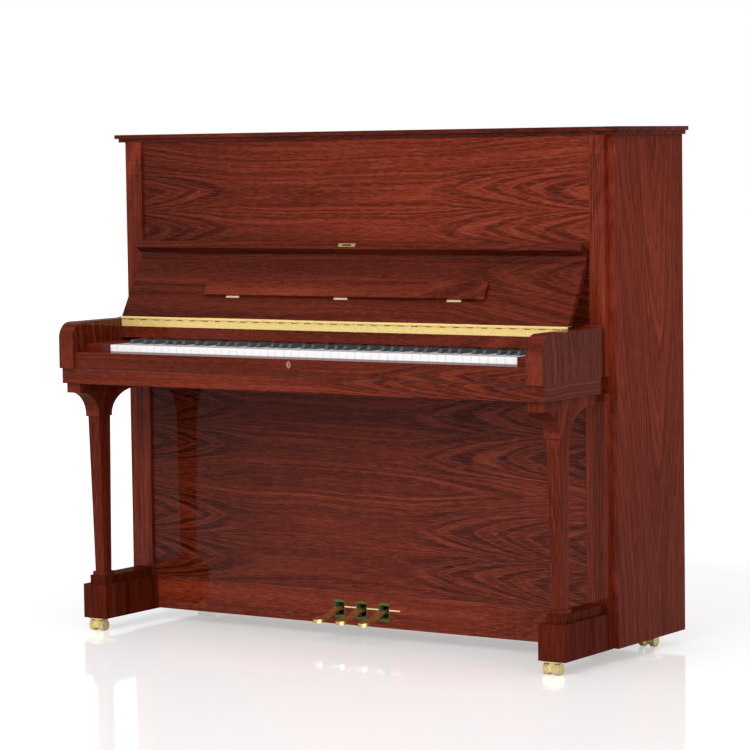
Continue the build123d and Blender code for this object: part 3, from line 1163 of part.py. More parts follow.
def make_iron_plate():
    """Cast frame: pin field above, hitch-pin apron below, struts between."""
    foot = FLOOR_GAP + PLATE_FOOT
    corner_z = foot + PLATE_CORNER_RISE
    corner_x = PLATE_HALF - PLATE_CORNER_RUN
    top_z = CASE_HEIGHT - PLATE_TOP_GAP
    plate = front_profile([(-PLATE_HALF, corner_z), (-corner_x, foot), (corner_x, foot),
                           (PLATE_HALF, corner_z), (PLATE_HALF, top_z), (-PLATE_HALF, top_z)],
                          PLATE_FRONT_Y, PLATE_REAR_Y)
    struts = strut_x()
    for left, right in zip(struts, struts[1:]):
        x0 = left + STRUT_HALF
        x1 = right - STRUT_HALF
        plate -= front_profile([(x0, APRON_Z + APRON_CHAMFER), (x0 + APRON_CHAMFER, APRON_Z),
                                (x1 - APRON_CHAMFER, APRON_Z), (x1, APRON_Z + APRON_CHAMFER),
                                (x1, pin_field_z(x1)), (x0, pin_field_z(x0))],
                               PLATE_FRONT_Y, PLATE_REAR_Y)
    return plate


def bridge_section(notes):
    """A straight length of bridge under the feet of these notes' strings."""
    first = string_ends(notes[0])[1]
    last = string_ends(notes[-1])[1]
    z0 = first[2] + BRIDGE_ABOVE_FOOT
    z1 = last[2] + BRIDGE_ABOVE_FOOT
    rear = max(string_y_at(notes[0], z0 + BRIDGE_WIDTH), string_y_at(notes[-1], z1 + BRIDGE_WIDTH))
    front = rear + STRING_SIZE / 2 + BRIDGE_GAP
    x0 = first[0] - BRIDGE_END
    x1 = last[0] + BRIDGE_END
    return front_profile([(x0, z0), (x1, z1), (x1, z1 + BRIDGE_WIDTH), (x0, z0 + BRIDGE_WIDTH)],
                         front, SOUNDBOARD_FRONT_Y)


def make_bridges():
    """Bass bridge and long bridge, each in lengths that stop short of the plate's struts."""
    pieces = []
    struts = strut_x()
    margin = STRUT_HALF + 8.0
    for low, high in ((1, BASS_NOTES), (BASS_NOTES + 1, NOTE_COUNT)):
        for left, right in zip(struts, struts[1:]):
            notes = [note for note in range(low, high + 1)
                     if left + margin < string_ends(note)[1][0] < right - margin]
            if len(notes) > 4:
                pieces.append(bridge_section(notes))
    return Compound(children=pieces)


def make_strings():
    strings = []
    for note in range(1, NOTE_COUNT + 1):
        top, foot = string_ends(note)
        run = Vector(*top) - Vector(*foot)
        plane = Plane(origin=foot, x_dir=(1, 0, 0), z_dir=run)
        strings.append(extrude(plane * Rectangle(STRING_SIZE, STRING_SIZE), run.length))
    return Compound(children=strings)


def make_tuning_pins():
    pins = []
    half = TUNING_PIN_SIZE / 2
    for note in range(1, NOTE_COUNT + 1):
        x, y, top_z = string_ends(note)[0]
        z = top_z + TUNING_PIN_LIFT + TUNING_PIN_ROW * (note % 3)
        pins.append(block(x - half, x + half, PLATE_FRONT_Y - TUNING_PIN_LENGTH, PLATE_FRONT_Y,
                          z - half, z + half))
    return Compound(children=pins)


def build_parts():
    """Every node of the piano, by name."""
    side = make_side()
    pilaster = make_pilaster()
    arm = make_arm()
    leg = make_leg()
    toe = make_toe()
    soft_top = HAMMER_PIVOT_Z - ROD_GAP
    sustain_top = DAMPER_PIVOT_Z - 12.0 - ROD_GAP
    mute_top = MUTE_FELT_FOOT_Z + MUTE_FELT_DROP - ROD_GAP
    parts = {
        "left_side": mirrored(side),
        "right_side": side,
        "left_pilaster": mirrored(pilaster),
        "right_pilaster": pilaster,
        "left_arm": mirrored(arm),
        "right_arm": arm,
        "left_leg": mirrored(leg),
        "right_leg": leg,
        "left_toe": mirrored(toe),
        "right_toe": toe,
        "front_lid": make_front_lid(),
        "rear_lid": make_rear_lid(),
        "upper_panel": make_upper_panel(),
        "lower_panel": make_lower_panel(),
        "plinth_rail": make_plinth_rail(),
        "pedal_bushings": make_pedal_bushings(),
        "bottom_board": make_bottom_board(),
        "keybed": make_keybed(),
        "keyslip": make_keyslip(),
        "keyslip_lock": make_keyslip_lock(),
        "key_blocks": make_key_blocks(),
        "hinge_rail": make_hinge_rail(),
        "rail_hinge_leaf": make_rail_hinge_leaf(),
        "fallboard": make_fallboard(),
        "fallboard_hinge_leaf": make_fallboard_hinge_leaf(),
        "strike_plate": make_strike_plate(),
        "music_ledge": make_music_ledge(),
        "key_frame": make_key_frame(),
        "action_frame": make_action_frame(),
        "hammer_rail": make_hammer_rail(),
        "damper_lift_rod": make_damper_lift_rod(),
        "mute_rail": make_mute_rail(),
        "back_frame": make_back_frame(),
        "soundboard": make_soundboard(),
        "bridges": make_bridges(),
        "iron_plate": make_iron_plate(),
        "strings": make_strings(),
        "tuning_pins": make_tuning_pins(),
        "left_pedal": make_pedal(-1, LEFT_PIVOT_Y, SOFT_ROD_X, SOFT_ROD_Y),
        "middle_pedal": make_pedal(0, MIDDLE_PIVOT_Y, MUTE_ROD_X, MUTE_ROD_Y),
        "right_pedal": make_pedal(1, RIGHT_PIVOT_Y, SUSTAIN_ROD_X, SUSTAIN_ROD_Y),
        "pedal_bearings": make_pedal_bearings(),
        "soft_rod": make_rod(SOFT_ROD_X, SOFT_ROD_Y, soft_top),
        "mute_rod": make_rod(MUTE_ROD_X, MUTE_ROD_Y, mute_top),
        "sustain_rod": make_rod(SUSTAIN_ROD_X, SUSTAIN_ROD_Y, sustain_top),
        "caster_brackets": make_caster_brackets(),
        "front_left_wheel": make_caster_wheel(-CASTER_X, FRONT_AXLE_Y),
        "front_right_wheel": make_caster_wheel(CASTER_X, FRONT_AXLE_Y),
        "rear_left_wheel": make_caster_wheel(-CASTER_X, REAR_AXLE_Y),
        "rear_right_wheel": make_caster_wheel(CASTER_X, REAR_AXLE_Y),
    }
    for name, first in (("odd", 1), ("even", 2)):
        parts["white_keys_" + name] = make_keys(first, False)
        parts["black_keys_" + name] = make_keys(first, True)
        parts["wippens_" + name] = make_wippens(first)
        parts["hammers_" + name] = make_hammers(first)
        parts["dampers_" + name] = make_dampers(first)
    return parts


os.makedirs("parts", exist_ok=True)
for node, shape in build_parts().items():
    export_step(shape, "parts/" + node + ".step")
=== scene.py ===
import json
import math

import bmesh
import bpy
from mathutils import Matrix, Vector


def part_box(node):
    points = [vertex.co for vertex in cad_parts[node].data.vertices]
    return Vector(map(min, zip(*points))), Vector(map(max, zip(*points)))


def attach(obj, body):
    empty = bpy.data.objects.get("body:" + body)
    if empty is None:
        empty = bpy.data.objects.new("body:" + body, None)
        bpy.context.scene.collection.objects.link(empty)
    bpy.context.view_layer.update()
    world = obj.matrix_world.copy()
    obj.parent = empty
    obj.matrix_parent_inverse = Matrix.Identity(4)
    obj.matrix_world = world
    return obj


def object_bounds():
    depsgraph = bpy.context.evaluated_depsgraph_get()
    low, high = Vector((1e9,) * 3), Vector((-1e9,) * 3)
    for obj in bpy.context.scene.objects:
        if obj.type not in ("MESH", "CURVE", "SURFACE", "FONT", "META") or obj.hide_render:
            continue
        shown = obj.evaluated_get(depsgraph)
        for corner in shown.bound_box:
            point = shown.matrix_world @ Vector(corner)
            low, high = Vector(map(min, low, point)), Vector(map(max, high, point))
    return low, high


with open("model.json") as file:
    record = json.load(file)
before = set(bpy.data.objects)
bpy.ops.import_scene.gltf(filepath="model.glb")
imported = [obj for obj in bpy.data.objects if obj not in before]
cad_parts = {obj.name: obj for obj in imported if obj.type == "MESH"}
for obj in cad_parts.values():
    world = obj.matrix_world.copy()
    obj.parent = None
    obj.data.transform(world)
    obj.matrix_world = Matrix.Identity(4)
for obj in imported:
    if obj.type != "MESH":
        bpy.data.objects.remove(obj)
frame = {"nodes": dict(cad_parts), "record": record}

CAD_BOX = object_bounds()
NODES = frame["nodes"]

# ---------------------------------------------------------------- places read from the frame
HINGE_LOW, HINGE_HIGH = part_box("rail_hinge_leaf")
PLINTH_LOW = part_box("plinth_rail")[0]
SLOT_LOW, SLOT_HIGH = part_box("pedal_bushings")

# ---------------------------------------------------------------- driving values, metres
EDGE_ROUND = 0.0012
FRONT_RAIL_ROUND = 0.0020
WHITE_KEY_ROUND = 0.0007
BLACK_KEY_ROUND = 0.0009
ROUND_ANGLE = 40

HINGE_SCREW_PITCH = 0.048
HINGE_SCREW_RADIUS = 0.0021
HINGE_SCREW_HEIGHT = 0.0006
HINGE_SCREW_TOP_SHARE = 0.72
HINGE_SCREW_RISE = 0.0085
HINGE_SCREW_MARGIN = 0.015
HINGE_GAP_PITCH = 0.040
HINGE_GAP_LENGTH = 0.018
HINGE_GAP_HEIGHT = 0.0016
HINGE_GAP_RISE = 0.0185
HINGE_GAP_MARGIN = 0.012
HINGE_GAP_PROUD = 0.0002
LEAF_BELOW_KNUCKLES = 0.004

LEDGE_HINGE_X = 0.338
LEDGE_HINGE_WIDTH = 0.041
LEDGE_LEAF_FOOT = 0.0046
LEDGE_LEAF_HEAD = 0.0012
LEDGE_LEAF_SUNK = 0.0007
LEDGE_LEAF_CLEARANCE = 0.00006
LEDGE_BARREL_RADIUS = 0.0013
LEDGE_BARREL_SHIFTS = (-0.4, -0.2, 0.0, 0.2, 0.4)
LEDGE_BARREL_SHARE = 0.19

SLOT_HALF = 0.0165
FELT_HALF = 0.0168
FELT_RISE = 0.0070
FELT_THICKNESS = 0.0012
FELT_TOP_INSET = 0.0035
FELT_FOOT_INSET = 0.0040
FELT_FACETS = 12
INLAY_HEIGHT = 0.0032
INLAY_DEPTH = 0.0012
INLAY_RISE = 0.007
INLAY_TAIL = 0.032
SEAM_HEIGHT = 0.0022
SEAM_INSET = 0.001
SEAM_PROUD = 0.0003

# ---------------------------------------------------------------- veneer figure
FLAME_OPENING = 0.130
FLAME_STEP = 0.095
FLAME_BLUNT = 0.004
FLAME_LIMIT = 1.12
FLAME_EASE = 0.15
OUTSIDE_RISE = 7.0
DRIFT_FINE, DRIFT_LONG, DRIFT_SHARE = 3.2, 1.6, 0.9
RIPPLE_FINE, RIPPLE_LONG, RIPPLE_SHARE = 16.0, 7.0, 0.14
BAND_LONG, BAND_RINGS, BAND_LINES, BAND_SIDE = 1.1, 16.0, 30.0, 4.0
BAND_SPREAD = 0.20
UNEVEN_LONG, UNEVEN_RINGS, UNEVEN_TURN = 2.0, 9.0, 7.0
CLOUD_FINE, CLOUD_LONG = 11.0, 2.0
PORE_FINE, PORE_STRENGTH = 640.0, 0.60
FLECK_FINE, FLECK_LONG_SHARE, FLECK_STRENGTH = 560.0, 0.9, 0.36
FLAME_DARK, FLAME_THIN = 0.84, 0.55

# ---------------------------------------------------------------- room and floor
FLOOR_SIZE = 30.0
FLOOR_GREY = 0.80
FLOOR_LIFT = 0.41
FLOOR_FAR_LIFT = 0.30
FLOOR_LIFT_START = 1.5
FLOOR_LIFT_END = 3.2
FLOOR_MIRROR = 0.58
FLOOR_MIRROR_ROUGHNESS = 0.07
ROOM_LIGHT = 0.74
ROOM_MIRRORED = 0.40
WINDOW_MIRRORED = 2.6
WINDOW_EDGE = 0.72
WINDOW_CORE = 0.98
BRIGHT_WAY = (0.62, -0.75, 0.12)
BACKDROP = 1.0

# ---------------------------------------------------------------- colours, linear
VEIN_DARK = (0.026, 0.0032, 0.0010, 1)
VEIN_DEEP = (0.082, 0.0085, 0.0026, 1)
VEIN_MID = (0.160, 0.0185, 0.0068, 1)
VEIN_LIGHT = (0.270, 0.0400, 0.0165, 1)
VEIN_BRIGHT = (0.33, 0.070, 0.034, 1)


# ---------------------------------------------------------------- node-graph helpers
class Graph:
    """A few short calls that build a material's nodes."""

    def __init__(self, name):
        self.material = bpy.data.materials.new(name)
        self.material.use_nodes = True
        self.tree = self.material.node_tree
        self.shader = self.tree.nodes["Principled BSDF"]
        self.place = self.tree.nodes.new("ShaderNodeTexCoord").outputs["Object"]

    def set(self, **values):
        """Constants on the shader's own sockets."""
        for key, value in values.items():
            self.shader.inputs[key.replace("_", " ")].default_value = value
        return self

    def _feed(self, socket, value):
        if isinstance(value, bpy.types.NodeSocket):
            self.tree.links.new(value, socket)
        else:
            socket.default_value = value

    def math(self, operation, *values, clamp=False):
        node = self.tree.nodes.new("ShaderNodeMath")
        node.operation = operation
        node.use_clamp = clamp
        for socket, value in zip(node.inputs, values):
            self._feed(socket, value)
        return node.outputs[0]

    def stretch(self, scale, offset=(0, 0, 0)):
        """The object's own coordinates, scaled and shifted."""
        node = self.tree.nodes.new("ShaderNodeMapping")
        self.tree.links.new(self.place, node.inputs["Vector"])
        node.inputs["Scale"].default_value = scale
        node.inputs["Location"].default_value = offset
        return node.outputs[0]

    def split(self):
        node = self.tree.nodes.new("ShaderNodeSeparateXYZ")
        self.tree.links.new(self.place, node.inputs[0])
        return node.outputs

    def join(self, x, y, z):
        node = self.tree.nodes.new("ShaderNodeCombineXYZ")
        for socket, value in zip(node.inputs, (x, y, z)):
            self._feed(socket, value)
        return node.outputs[0]

    def noise(self, vector, scale=1.0, detail=2.0, roughness=0.5, distortion=0.0):
        node = self.tree.nodes.new("ShaderNodeTexNoise")
        self.tree.links.new(vector, node.inputs["Vector"])
        node.inputs["Scale"].default_value = scale
        node.inputs["Detail"].default_value = detail
        node.inputs["Roughness"].default_value = roughness
        node.inputs["Distortion"].default_value = distortion
        return node.outputs[0]

    def ramp(self, factor, stops):
        node = self.tree.nodes.new("ShaderNodeValToRGB")
        self.tree.links.new(factor, node.inputs[0])
        elements = node.color_ramp.elements
        while len(elements) < len(stops):
            elements.new(0.5)
        for element, (position, color) in zip(elements, stops):
            element.position = position
            element.color = color
        return node.outputs[0]

    def between(self, value, low, high, to_low=0.0, to_high=1.0):
        node = self.tree.nodes.new("ShaderNodeMapRange")
        self._feed(node.inputs[0], value)
        for socket, number in zip(list(node.inputs)[1:5], (low, high, to_low, to_high)):
            socket.default_value = number
        return node.outputs[0]

    def mix(self, factor, a, b, blend="MIX"):
        node = self.tree.nodes.new("ShaderNodeMix")
        node.data_type = "RGBA"
        node.blend_type = blend
        self._feed(node.inputs[0], factor)
        self._feed(node.inputs[6], a)
        self._feed(node.inputs[7], b)
        return node.outputs[2]

    def color(self, value):
        self._feed(self.shader.inputs["Base Color"], value)
        return self

    def rough(self, value):
        self._feed(self.shader.inputs["Roughness"], value)
        return self

    def bump(self, height, strength, distance=0.0005):
        node = self.tree.nodes.new("ShaderNodeBump")
        node.inputs["Strength"].default_value = strength
        node.inputs["Distance"].default_value = distance
        self.tree.links.new(height, node.inputs["Height"])
        self.tree.links.new(node.outputs[0], self.shader.inputs["Normal"])
        return self


AXIS = {"X": 0, "Y": 1, "Z": 2}


def axis_scale(along, fine, coarse):
    """A mapping scale that is coarse along the grain and fine across it."""
    scale = [fine, fine, fine]
    scale[AXIS[along]] = coarse
    return tuple(scale)


def flame_rings(g, along, across, centre, half, nests, reach, start, back_start, offset, opening_run):
    """The coordinates that a sheet's figure is drawn in.

    They are, in order: the place along the grain, the wavering line across it, the place as a
    share of the half length, how far past a flame's tip it lies, the ring it falls on, and the
    distance from the nearest nest's middle line.
    """
    parts = g.split()
    u = g.math("SUBTRACT", parts[AXIS[along]], centre[0])
    v = g.math("SUBTRACT", parts[AXIS[across]], centre[1])
    drift_place = g.stretch(axis_scale(along, DRIFT_FINE, DRIFT_LONG), (offset, offset * 1.7, offset * 0.6))
    drift = g.noise(drift_place, 1.0, 1.0, 0.5)
    ripple_place = g.stretch(axis_scale(along, RIPPLE_FINE, RIPPLE_LONG), (offset, 2.0, offset))
    ripple = g.noise(ripple_place, 1.0, 2.0, 0.5)
    line = g.math("ADD", v, g.math("MULTIPLY", g.math("SUBTRACT", drift, 0.5), reach * DRIFT_SHARE))
    line = g.math("ADD", line, g.math("MULTIPLY", g.math("SUBTRACT", ripple, 0.5), reach * RIPPLE_SHARE))
    away = 1.0
    for nest in nests:
        away = g.math("MINIMUM", away, g.math("ABSOLUTE", g.math("SUBTRACT", line, nest)))
    opening = g.math("MINIMUM", g.math("DIVIDE", away, reach), 1.0)
    opening = g.math("SQRT", g.math("ADD", g.math("MULTIPLY", opening, opening), FLAME_BLUNT))
    flare = g.math("LOGARITHM", g.math("SUBTRACT", FLAME_LIMIT, opening), math.e)
    share = g.math("DIVIDE", u, half)
    run = g.math("MAXIMUM", g.math("SUBTRACT", share, start), 0.0)
    back_run = g.math("SUBTRACT", g.math("MULTIPLY", share, -1.0), back_start)
    run = g.math("ADD", run, g.math("MAXIMUM", back_run, 0.0))
    ease = g.math("DIVIDE", g.math("MULTIPLY", run, run), g.math("ADD", run, FLAME_EASE))
    ring = g.math("SUBTRACT", g.math("MULTIPLY", flare, -opening_run), g.math("MULTIPLY", ease, half))
    outside = g.math("MAXIMUM", g.math("SUBTRACT", away, reach), 0.0)
    ring = g.math("ADD", ring, g.math("MULTIPLY", outside, OUTSIDE_RISE))
    return u, line, share, run, ring, away


def veneer(name, along, across, centre, half, nests, reach, start, offset=0.0, tone=1.0,
           far_tone=1.0, depth=1.0, opening_run=FLAME_OPENING, dash=40.0, shine=0.36,
           back_start=2.0, contrast=1.0):
    """Polished mahogany veneer with the flame figure of flat-sawn logs.

    along is the grain's axis and across the one its lines stack on; centre is the sheet's middle
    and half its half length. nests are the flames' middles, measured from the sheet's own middle,
    reach their half height, and start the share of the half length where their tips begin. tone
    scales the whole sheet, far_tone darkens its low end as painted shade, and depth how much
    the flames and clouds darken the wood. opening_run is the length over which a flame opens,
    dash the pores' scale along the grain, shine the lacquer's weight, and back_start the share at
    which flames that point the other way begin. A contrast below 1 brings the colours of the
    broad veins nearer to their middle colour.
    """
    g = Graph(name)
    u, line, share, run, ring, away = flame_rings(g, along, across, centre, half, nests, reach, start,
                                                  back_start, offset, opening_run)
    side = g.math("ADD", g.math("MULTIPLY", line, BAND_SIDE), offset)
    rows = g.math("ADD", g.math("MULTIPLY", ring, BAND_RINGS), g.math("MULTIPLY", line, BAND_LINES))
    band = g.noise(g.join(g.math("MULTIPLY", u, BAND_LONG), rows, side), 1.0, 4.0, 0.5)
    spread = BAND_SPREAD / contrast
    base = g.ramp(band, [(0.50 - spread, VEIN_DEEP), (0.50, VEIN_MID), (0.50 + spread, VEIN_LIGHT)])

    uneven_rows = g.math("MULTIPLY", ring, UNEVEN_RINGS)
    uneven = g.noise(g.join(g.math("MULTIPLY", u, UNEVEN_LONG), uneven_rows, offset), 1.0, 1.0, 0.5)
    turn = g.math("MULTIPLY", ring, 2 * math.pi / FLAME_STEP)
    wave = g.math("SINE", g.math("ADD", turn, g.math("MULTIPLY", uneven, UNEVEN_TURN)))
    flame = g.math("MULTIPLY", g.math("ADD", g.math("MULTIPLY", run, 5.0), 0.06, clamp=True),
                   g.between(away, reach * 0.85, reach * 1.25, 1.0, 0.25))
    dark = g.between(wave, -0.35, 0.80, 0.0, FLAME_DARK * depth)
    base = g.mix(g.math("MULTIPLY", dark, flame), base, VEIN_DARK)
    thin = g.between(g.math("ABSOLUTE", g.math("ADD", wave, 0.35)), 0.0, 0.35, FLAME_THIN * depth, 0.0)
    base = g.mix(g.math("MULTIPLY", thin, flame), base, VEIN_BRIGHT)

    cloud_place = g.stretch(axis_scale(along, CLOUD_FINE, CLOUD_LONG), (offset * 2, offset, 0))
    cloud = g.noise(cloud_place, 1.0, 3.0, 0.5)
    base = g.mix(g.between(cloud, 0.42, 0.72, 0.0, 0.45 * depth), base, VEIN_DEEP)
    pores = g.noise(g.stretch(axis_scale(along, PORE_FINE, dash), (0, offset, offset)), 1.0, 1.0, 0.5)
    base = g.mix(g.between(pores, 0.50, 0.68, 0.0, PORE_STRENGTH), base, VEIN_DARK)
    fleck_place = g.stretch(axis_scale(along, FLECK_FINE, dash * FLECK_LONG_SHARE), (offset, 7.0, 3.0))
    fleck = g.noise(fleck_place, 1.0, 1.0, 0.5)
    base = g.mix(g.between(fleck, 0.52, 0.70, 0.0, FLECK_STRENGTH), base, VEIN_BRIGHT)

    # Painted shade: far_tone darkens the sheet towards its low end along the grain.
    level = g.between(share, -1.0, 0.2, tone * far_tone, tone)
    g.color(g.mix(1.0, base, g.join(level, level, level), "MULTIPLY"))
    g.rough(g.between(pores, 0.4, 0.8, 0.34, 0.44))
    g.bump(pores, 0.04, 0.0002)
    g.set(IOR=1.5, Specular_IOR_Level=0.0, Coat_Weight=shine, Coat_Roughness=0.03, Coat_IOR=1.5)
    return g.material


def plain_wood(name, light, dark, along, rough=0.62):
    """Unvarnished timber with soft straight grain."""
    g = Graph(name)
    grain = g.noise(g.stretch(axis_scale(along, 120.0, 4.0)), 1.0, 4.0, 0.6)
    broad = g.noise(g.stretch(axis_scale(along, 14.0, 1.2)), 1.0, 3.0, 0.5)
    darker = g.math("MULTIPLY", g.between(grain, 0.35, 0.75), g.between(broad, 0.2, 0.8, 0.5, 1.0))
    g.color(g.mix(darker, light, dark))
    g.rough(g.between(grain, 0.3, 0.8, rough - 0.08, rough + 0.1))
    g.bump(grain, 0.12, 0.0003)
    return g.material


def metal(name, color, rough, scale=60.0, variation=0.10, lacquer=0.0):
    """Polished metal with faint handling marks; lacquer is the share that isn't metallic."""
    g = Graph(name)
    cloud = g.noise(g.stretch((scale, scale, scale)), 1.0, 4.0, 0.6)
    dull = tuple(channel * (1 - variation) for channel in color[:3]) + (1,)
    g.color(g.mix(g.between(cloud, 0.35, 0.7), color, dull))
    g.rough(g.between(cloud, 0.3, 0.7, rough, rough + 0.08))
    g.set(Metallic=1.0 - lacquer)
    return g.material


def felt(name, color, deep):
    """Pressed wool with fine fibres and softly uneven colour."""
    g = Graph(name)
    fibre = g.noise(g.stretch((900.0, 900.0, 900.0)), 1.0, 3.0, 0.7)
    patch = g.noise(g.stretch((60.0, 60.0, 60.0)), 1.0, 2.0, 0.5)
    g.color(g.mix(g.math("MULTIPLY", fibre, patch), color, deep))
    g.set(Roughness=0.95, Sheen_Weight=0.4, Sheen_Roughness=0.5)
    g.bump(fibre, 0.5, 0.0004)
    return g.material


def ivory(name):
    """Polished white key covering with faint clouds."""
    g = Graph(name)
    cloud = g.noise(g.stretch((45.0, 12.0, 45.0)), 1.0, 3.0, 0.5)
    g.color(g.ramp(cloud, [(0.3, (0.95, 0.96, 0.97, 1)), (0.7, (0.97, 0.98, 0.99, 1))]))
    g.rough(g.between(cloud, 0.3, 0.7, 0.14, 0.22))
    g.set(IOR=1.5, Coat_Weight=0.5, Coat_Roughness=0.08)
    return g.material


def ebony(name):
    """Polished black with a trace of grain."""
    g = Graph(name)
    grain = g.noise(g.stretch((500.0, 18.0, 500.0)), 1.0, 3.0, 0.6)
    g.color(g.mix(g.between(grain, 0.45, 0.7), (0.048, 0.054, 0.060, 1), (0.070, 0.076, 0.082, 1)))
    g.rough(g.between(grain, 0.3, 0.8, 0.20, 0.32))
    g.set(IOR=1.5, Coat_Weight=0.5, Coat_Roughness=0.12)
    return g.material


HAMMER_FELT_LOW = 0.972
HAMMER_FELT_HIGH = 0.976


def hammer_stuff(name):
    """Maple shank below, pale felt where the head begins."""
    g = Graph(name)
    high = g.split()[2]
    fibre = g.noise(g.stretch((700.0, 700.0, 700.0)), 1.0, 3.0, 0.6)
    wood = g.mix(fibre, (0.62, 0.44, 0.26, 1), (0.50, 0.33, 0.18, 1))
    wool = g.mix(fibre, (0.80, 0.78, 0.70, 1), (0.66, 0.63, 0.55, 1))
    g.color(g.mix(g.between(high, HAMMER_FELT_LOW, HAMMER_FELT_HIGH), wood, wool))
    g.set(Roughness=0.8)
    g.bump(fibre, 0.3, 0.0003)
    return g.material


# ---------------------------------------------------------------- materials for the frame's nodes
def middle(low, high, axis):
    return (low[AXIS[axis]] + high[AXIS[axis]]) / 2


def sheet(node, along, across, nests=(0.0,), reach=0.05, start=0.5, **rest):
    """Veneer laid on one node, its figure centred on that node."""
    low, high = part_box(node)
    centre = (middle(low, high, along), middle(low, high, across))
    half = (high[AXIS[along]] - low[AXIS[along]]) / 2
    return veneer("veneer_" + node, along, across, centre, half, nests, reach, start, **rest)


def dress_case():
    # far_tone paints shade on a sheet's low end: the left end of the panels and fallboard, the bottom of
    # the sides.
    looks = {
        "upper_panel": sheet("upper_panel", "X", "Z", (0.100, 0.0), 0.050, 0.30,
                             offset=3.13, tone=0.94, far_tone=0.52, depth=0.70, back_start=0.50),
        "lower_panel": sheet("lower_panel", "X", "Z", (0.095, -0.095, 0.205, -0.205), 0.055, 0.20,
                             offset=8.44, tone=0.84, far_tone=0.60, depth=0.80, back_start=0.48),
        "fallboard": sheet("fallboard", "X", "Z", (0.03,), 0.06, 0.45, offset=5.2, tone=0.51, far_tone=0.72,
                           depth=0.45),
        "music_ledge": sheet("music_ledge", "X", "Z", (), offset=12.2, tone=0.58, depth=0.8),
        "hinge_rail": sheet("hinge_rail", "X", "Z", (), offset=1.3, tone=0.80, depth=0.7),
        "keyslip": sheet("keyslip", "X", "Z", (-0.01,), 0.03, 0.30, offset=9.9, tone=0.65, depth=0.7),
        "key_blocks": sheet("key_blocks", "X", "Z", (), offset=4.4, tone=0.75, depth=0.7),
        "keybed": sheet("keybed", "X", "Z", (0.01,), 0.03, 0.10, offset=15.5, tone=0.78, depth=0.7),
        "plinth_rail": sheet("plinth_rail", "X", "Z", (), offset=2.2, depth=0.8),
        "front_lid": sheet("front_lid", "X", "Y", (0.0,), 0.08, 0.4, offset=6.6, tone=0.50, depth=0.8),
        "rear_lid": sheet("rear_lid", "X", "Y", (0.0,), 0.06, 0.4, offset=7.7, tone=0.85, depth=0.8),
        "left_side": sheet("left_side", "Z", "Y", (0.03,), 0.10, -0.8, offset=11.0, tone=0.94,
                           far_tone=0.78, depth=0.20, opening_run=0.45, dash=20.0, shine=0.22,
                           contrast=0.68),
        "right_side": sheet("right_side", "Z", "Y", (0.03,), 0.10, -0.8, offset=13.3, tone=0.94,
                            far_tone=0.78, depth=0.20, opening_run=0.45, dash=20.0, shine=0.22,
                            contrast=0.68),
    }
    for side, offset in (("left", 1.0), ("right", 2.6)):
        looks[side + "_arm"] = sheet(side + "_arm", "Z", "Y", (0.0,), 0.04, -0.2, offset=offset + 20,
                                     tone=0.64, depth=0.6)
        looks[side + "_pilaster"] = sheet(side + "_pilaster", "Z", "X", (), offset=offset + 30,
                                          tone=0.95, depth=0.8, dash=12.0)
        # The legs' low tone is partly their darker wood and partly painted shade.
        looks[side + "_leg"] = sheet(side + "_leg", "Z", "Y", (), offset=offset + 40, tone=0.75,
                                     depth=0.6, dash=16.0, shine=0.20)
        looks[side + "_toe"] = sheet(side + "_toe", "Z", "Y", (), offset=offset + 50, tone=0.52,
                                     depth=0.6, dash=16.0, shine=0.10)
    return looks


def dress_rest():
    brass = metal("brass_polished", (0.96, 0.74, 0.32, 1), 0.14)
    leaf_brass = metal("brass_leaf", (0.97, 0.72, 0.27, 1), 0.22, variation=0.04, lacquer=0.55)
    pedal_brass = metal("brass_pedal", (0.98, 0.74, 0.28, 1), 0.12, lacquer=0.08)
    cast_brass = metal("brass_cast", (0.96, 0.80, 0.38, 1), 0.14, scale=140.0, variation=0.2, lacquer=0.3)
    timber = plain_wood("beech_plain", (0.56, 0.38, 0.21, 1), (0.38, 0.23, 0.12, 1), "X")
    posts = plain_wood("pine_posts", (0.52, 0.35, 0.19, 1), (0.33, 0.20, 0.10, 1), "Z")
    spruce = plain_wood("spruce_board", (0.66, 0.47, 0.26, 1), (0.50, 0.33, 0.16, 1), "Z", rough=0.4)
    steel = metal("steel_drawn", (0.60, 0.60, 0.61, 1), 0.22, scale=300.0)
    iron = metal("iron_bronzed", (0.52, 0.37, 0.15, 1), 0.42, scale=90.0, variation=0.25)
    green = felt("felt_green", (0.030, 0.105, 0.018, 1), (0.010, 0.045, 0.010, 1))
    hammer = hammer_stuff("hammer_maple_and_felt")
    lock_brass = metal("lock_brass", (0.80, 0.50, 0.30, 1), 0.25)
    white = ivory("key_ivory")
    black = ebony("key_ebony")
    groups = (
        (green, ("pedal_bushings",)),
        (lock_brass, ("keyslip_lock",)),
        (leaf_brass, ("rail_hinge_leaf", "fallboard_hinge_leaf")),
        (brass, ("strike_plate",)),
        (timber, ("bottom_board", "key_frame", "action_frame", "hammer_rail", "mute_rail", "bridges",
                  "pedal_bearings", "wippens_odd", "wippens_even")),
        (posts, ("back_frame", "soft_rod", "mute_rod", "sustain_rod", "dampers_odd", "dampers_even")),
        (spruce, ("soundboard",)),
        (iron, ("iron_plate",)),
        (steel, ("strings", "tuning_pins", "damper_lift_rod")),
        (pedal_brass, ("left_pedal", "middle_pedal", "right_pedal")),
        (cast_brass, ("caster_brackets", "front_left_wheel", "front_right_wheel",
                      "rear_left_wheel", "rear_right_wheel")),
        (white, ("white_keys_odd", "white_keys_even")),
        (black, ("black_keys_odd", "black_keys_even")),
        (hammer, ("hammers_odd", "hammers_even")),
    )
    return {node: material for material, nodes in groups for node in nodes}


def soften(node, width=EDGE_ROUND, segments=2):
    """Round the outer edges so they catch light."""
    modifier = NODES[node].modifiers.new("edge_round", "BEVEL")
    modifier.width = width
    modifier.segments = segments
    modifier.limit_method = "ANGLE"
    modifier.angle_limit = math.radians(ROUND_ANGLE)
    modifier.harden_normals = True


